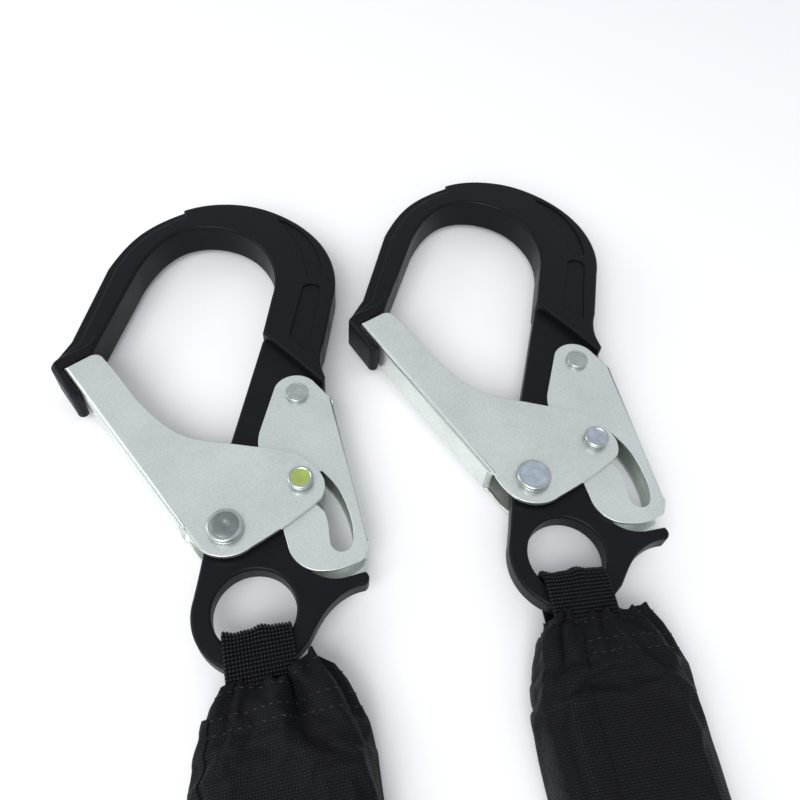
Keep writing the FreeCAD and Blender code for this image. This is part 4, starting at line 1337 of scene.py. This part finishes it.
# the stitched box with its cross, as lines between (across, from the bar), and its height and stitch
TACK_LINES = ((-8.0, 36.0, 8.0, 36.0), (8.0, 36.0, 8.0, 58.0), (8.0, 58.0, -8.0, 58.0),
              (-8.0, 58.0, -8.0, 36.0), (-8.0, 36.0, 8.0, 58.0), (8.0, 36.0, -8.0, 58.0))
TACK_HEIGHT = 13.2
TACK_STITCH, TACK_GAP = (2.4, 1.0, 0.62), 0.7
# a keeper's rings: how far each stands off the straps, and its distance from the bar
KEEPER_RINGS = ((0.9, 64.2), (1.5, 64.0), (1.6, 64.8), (1.6, 75.2), (1.5, 76.0), (0.9, 75.8), (0.15, 75.6),
                (0.15, 64.4))


class LANYARD_OT_straps(Operator):
    """Adds the leg straps with their stitching and keepers"""
    bl_idname = "lanyard.straps"
    bl_label = "Leg straps"

    def execute(self, context):
        colours = context.scene.lanyard_colours
        webbing, yarn = webbing_materials(colours.cloth)
        thread = bpy.data.materials["Black thread"]
        ribbed = dyed_textile("Keeper elastic", colours.cloth, 0.75, 0.0007, 0.00012)
        for side, hand in zip(SIDES, (-1, 1)):
            anchor = connector_frame() @ Vector((hand * STRAP_SPACING / 2, 0.0, 0.0))
            end = leg_frame(side) @ Vector((4.0, -150.0, 0.0))
            span = (end - anchor) / MM
            place = flat_frame(anchor, (span.y, -span.x))
            long = span.xy.length
            parts = (1.0, 0.66, 0.33)
            route = [(long * part, STRAP_UPPER) for part in parts] + STRAP_END
            route += [(long * part, STRAP_LOWER) for part in reversed(parts)]
            strap = woven_band(side + "_strap", route, STRAP_HALF, place, webbing, yarn, None, STRAP_PITCH)
            up = (0.0, 0.0, 1.0)
            rows = [stitched(side + "_bar_tack_" + str(index), [(x0, y0, TACK_HEIGHT), (x1, y1, TACK_HEIGHT)],
                             [up, up], place, thread, TACK_STITCH, TACK_GAP)
                    for index, (x0, y0, x1, y1) in enumerate(TACK_LINES)]
            tacks = joined(side + "_strap_stitching", rows)

            rings = []
            for grow, y in KEEPER_RINGS:
                ring = []
                half_x, half_z = 10.3 + grow, 2.0 + grow
                soft = min(half_z, 1.2 + grow)
                for quarter, (sx, sz) in enumerate(((1, 1), (-1, 1), (-1, -1), (1, -1))):
                    for step in range(7):
                        turn = math.pi / 2 * (quarter + step / 6)
                        ring.append((sx * (half_x - soft) + soft * math.cos(turn), y,
                                     11.0 + sz * (half_z - soft) + soft * math.sin(turn)))
                rings.append(ring)
            keeper = loft(side + "_keeper_loop", rings, place, ribbed, True)
            for piece, slot in ((strap, "webbing"), (tacks, "webbing"), (keeper, "elastic")):
                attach(piece, side + "_leg")
            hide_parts(side + "_leg_strap")
            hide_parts(side + "_strap_keeper")
        return {"FINISHED"}


def repaint(node, material):
    """Gives a CAD node a better material."""
    for slot in frame["nodes"][node].material_slots:
        slot.material = material


# the screw sleeve: a point on its axis, its rings as (radius, y, how fluted), and its flutes
SLEEVE_AXIS = (32.0, 0.0, 8.3)
SLEEVE_RINGS = ((5.12, -50.0, 0.0), (7.2, -50.0, 0.0), (7.7, -50.4, 0.0), (7.8, -52.6, 0.0),
                (8.25, -53.2, 1.0), (8.28, -54.0, 1.0), (8.28, -74.0, 1.0), (8.25, -74.8, 1.0),
                (7.8, -75.4, 0.0), (7.7, -77.6, 0.0), (7.2, -78.0, 0.0), (5.12, -78.0, 0.0))
FLUTES = 18
FLUTE_DEPTH = 0.55
SLEEVE_SEGMENTS = 12 * FLUTES


class LANYARD_OT_connector(Operator):
    """Adds the fluted screw sleeve, and finishes the connector and the springs"""
    bl_idname = "lanyard.connector"
    bl_label = "Connector"

    def execute(self, context):
        steel = fine_grained("Connector steel", (0.60, 0.61, 0.61), 0.3)
        sleeve_metal = fine_grained("Sleeve alloy", (0.48, 0.49, 0.50), 0.38)
        spring = fine_grained("Yellow passivated spring wire", (0.78, 0.58, 0.26), 0.28)
        for node in ("connector_body", "connector_gate", "connector_gate_pin", "connector_plunger"):
            repaint(node, steel)
        repaint("connector_gate_spring", spring)
        for side in SIDES:
            repaint(side + "_gate_spring", spring)
            repaint(side + "_lever_spring", spring)
        place = connector_frame() @ Matrix.Translation(SLEEVE_AXIS)
        rings = []
        for radius, y, flute in SLEEVE_RINGS:
            ring = []
            for step in range(SLEEVE_SEGMENTS):
                turn = 2 * math.pi * step / SLEEVE_SEGMENTS
                grip = radius - flute * FLUTE_DEPTH * max(0.0, math.cos(FLUTES * turn)) ** 1.5
                ring.append((grip * math.cos(turn), y, grip * math.sin(turn)))
            rings.append(ring)
        sleeve = loft("fluted_sleeve", rings, place, sleeve_metal, True)
        weighted(sleeve, 40)
        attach(sleeve, "connector_sleeve")
        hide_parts("connector_screw_sleeve")
        return {"FINISHED"}


class LANYARD_OT_stage(Operator):
    """Adds the floor, the lights and the camera"""
    bl_idname = "lanyard.stage"
    bl_label = "Stage"

    def execute(self, context):
        scene = context.scene
        work = bmesh.new()
        bmesh.ops.create_circle(work, cap_ends=True, segments=96, radius=6.0)
        material, graph, shader = new_material("Pale floor", Roughness=0.9, Specular_IOR_Level=0.1)
        place = object_coordinates(graph)
        colour = scene.lanyard_colours.floor
        mottle = graph.noise(place, 3.0)
        graph.put(graph.mix(mottle, tone(colour, 0.99), tone(colour, 1.01)), shader.inputs["Base Color"])
        floor = link(mesh_from(work, "floor", False), "floor", material)
        floor.data.transform(Matrix.Translation((0.0, 0.0, -0.0002)))

        world = bpy.data.worlds.new("Soft studio")
        world.use_nodes = True
        sky = world.node_tree.nodes["Background"]
        sky.inputs["Color"].default_value = (0.93, 0.95, 1.0, 1.0)
        sky.inputs["Strength"].default_value = 0.71
        scene.world = world
        for name, spot, aim, size, power in (
            ("front_softbox", (-0.35, -0.95, 1.25), (0.0, 0.1, 0.0), 1.2, 22.0),
            ("left_softbox", (-1.3, 0.35, 0.55), (0.0, 0.15, 0.0), 0.7, 4.0),
        ):
            light = bpy.data.lights.new(name, "AREA")
            light.shape = "SQUARE"
            light.size = size
            light.energy = power
            lamp = bpy.data.objects.new(name, light)
            lamp.location = spot
            lamp.rotation_euler = (Vector(aim) - Vector(spot)).to_track_quat("-Z", "Y").to_euler()
            scene.collection.objects.link(lamp)

        camera = bpy.data.cameras.new("Camera")
        camera.lens = 34.06
        camera.sensor_width = 36.0
        camera.shift_x = 0.0035
        camera.shift_y = -0.0013
        camera.clip_start = 0.01
        camera.clip_end = 30.0
        eye = bpy.data.objects.new("Camera", camera)
        right = Vector((0.99466, 0.08454, 0.05922)).normalized()
        ahead = Vector((0.0, 0.57377, -0.81902)).normalized()
        up = right.cross(ahead)
        turn = Matrix((right, up, -ahead)).transposed().to_4x4()
        eye.matrix_world = Matrix.Translation((-0.00798, 0.05954, 0.28826)) @ turn
        scene.collection.objects.link(eye)
        scene.camera = eye
        scene.view_settings.view_transform = "Standard"
        return {"FINISHED"}


OPERATORS = (
    LANYARD_OT_hook_bodies,
    LANYARD_OT_hook_ridges,
    LANYARD_OT_channels,
    LANYARD_OT_rivets,
    LANYARD_OT_eye_bands,
    LANYARD_OT_absorbers,
    LANYARD_OT_covers,
    LANYARD_OT_straps,
    LANYARD_OT_connector,
    LANYARD_OT_stage,
)


class LANYARD_PT_sidebar(Panel):
    """Lists the lanyard's sizes and colours, and its pieces"""
    bl_label = "Lanyard"
    bl_idname = "LANYARD_PT_sidebar"
    bl_space_type = "VIEW_3D"
    bl_region_type = "UI"
    bl_category = "Lanyard"

    def draw(self, context):
        layout = self.layout
        for settings in (context.scene.lanyard_sizes, context.scene.lanyard_colours):
            for key in settings.__annotations__:
                layout.prop(settings, key)
        for operator in OPERATORS:
            layout.operator(operator.bl_idname)


CLASSES = (LanyardSizes, LanyardColours) + OPERATORS + (LANYARD_PT_sidebar,)


def register():
    for item in CLASSES:
        bpy.utils.register_class(item)
    bpy.types.Scene.lanyard_sizes = PointerProperty(type=LanyardSizes)
    bpy.types.Scene.lanyard_colours = PointerProperty(type=LanyardColours)


def unregister():
    del bpy.types.Scene.lanyard_colours
    del bpy.types.Scene.lanyard_sizes
    for item in reversed(CLASSES):
        bpy.utils.unregister_class(item)


def main():
    register()
    for operator in OPERATORS:
        group, name = operator.bl_idname.split(".")
        getattr(getattr(bpy.ops, group), name)()


if __name__ == "__main__":
    main()
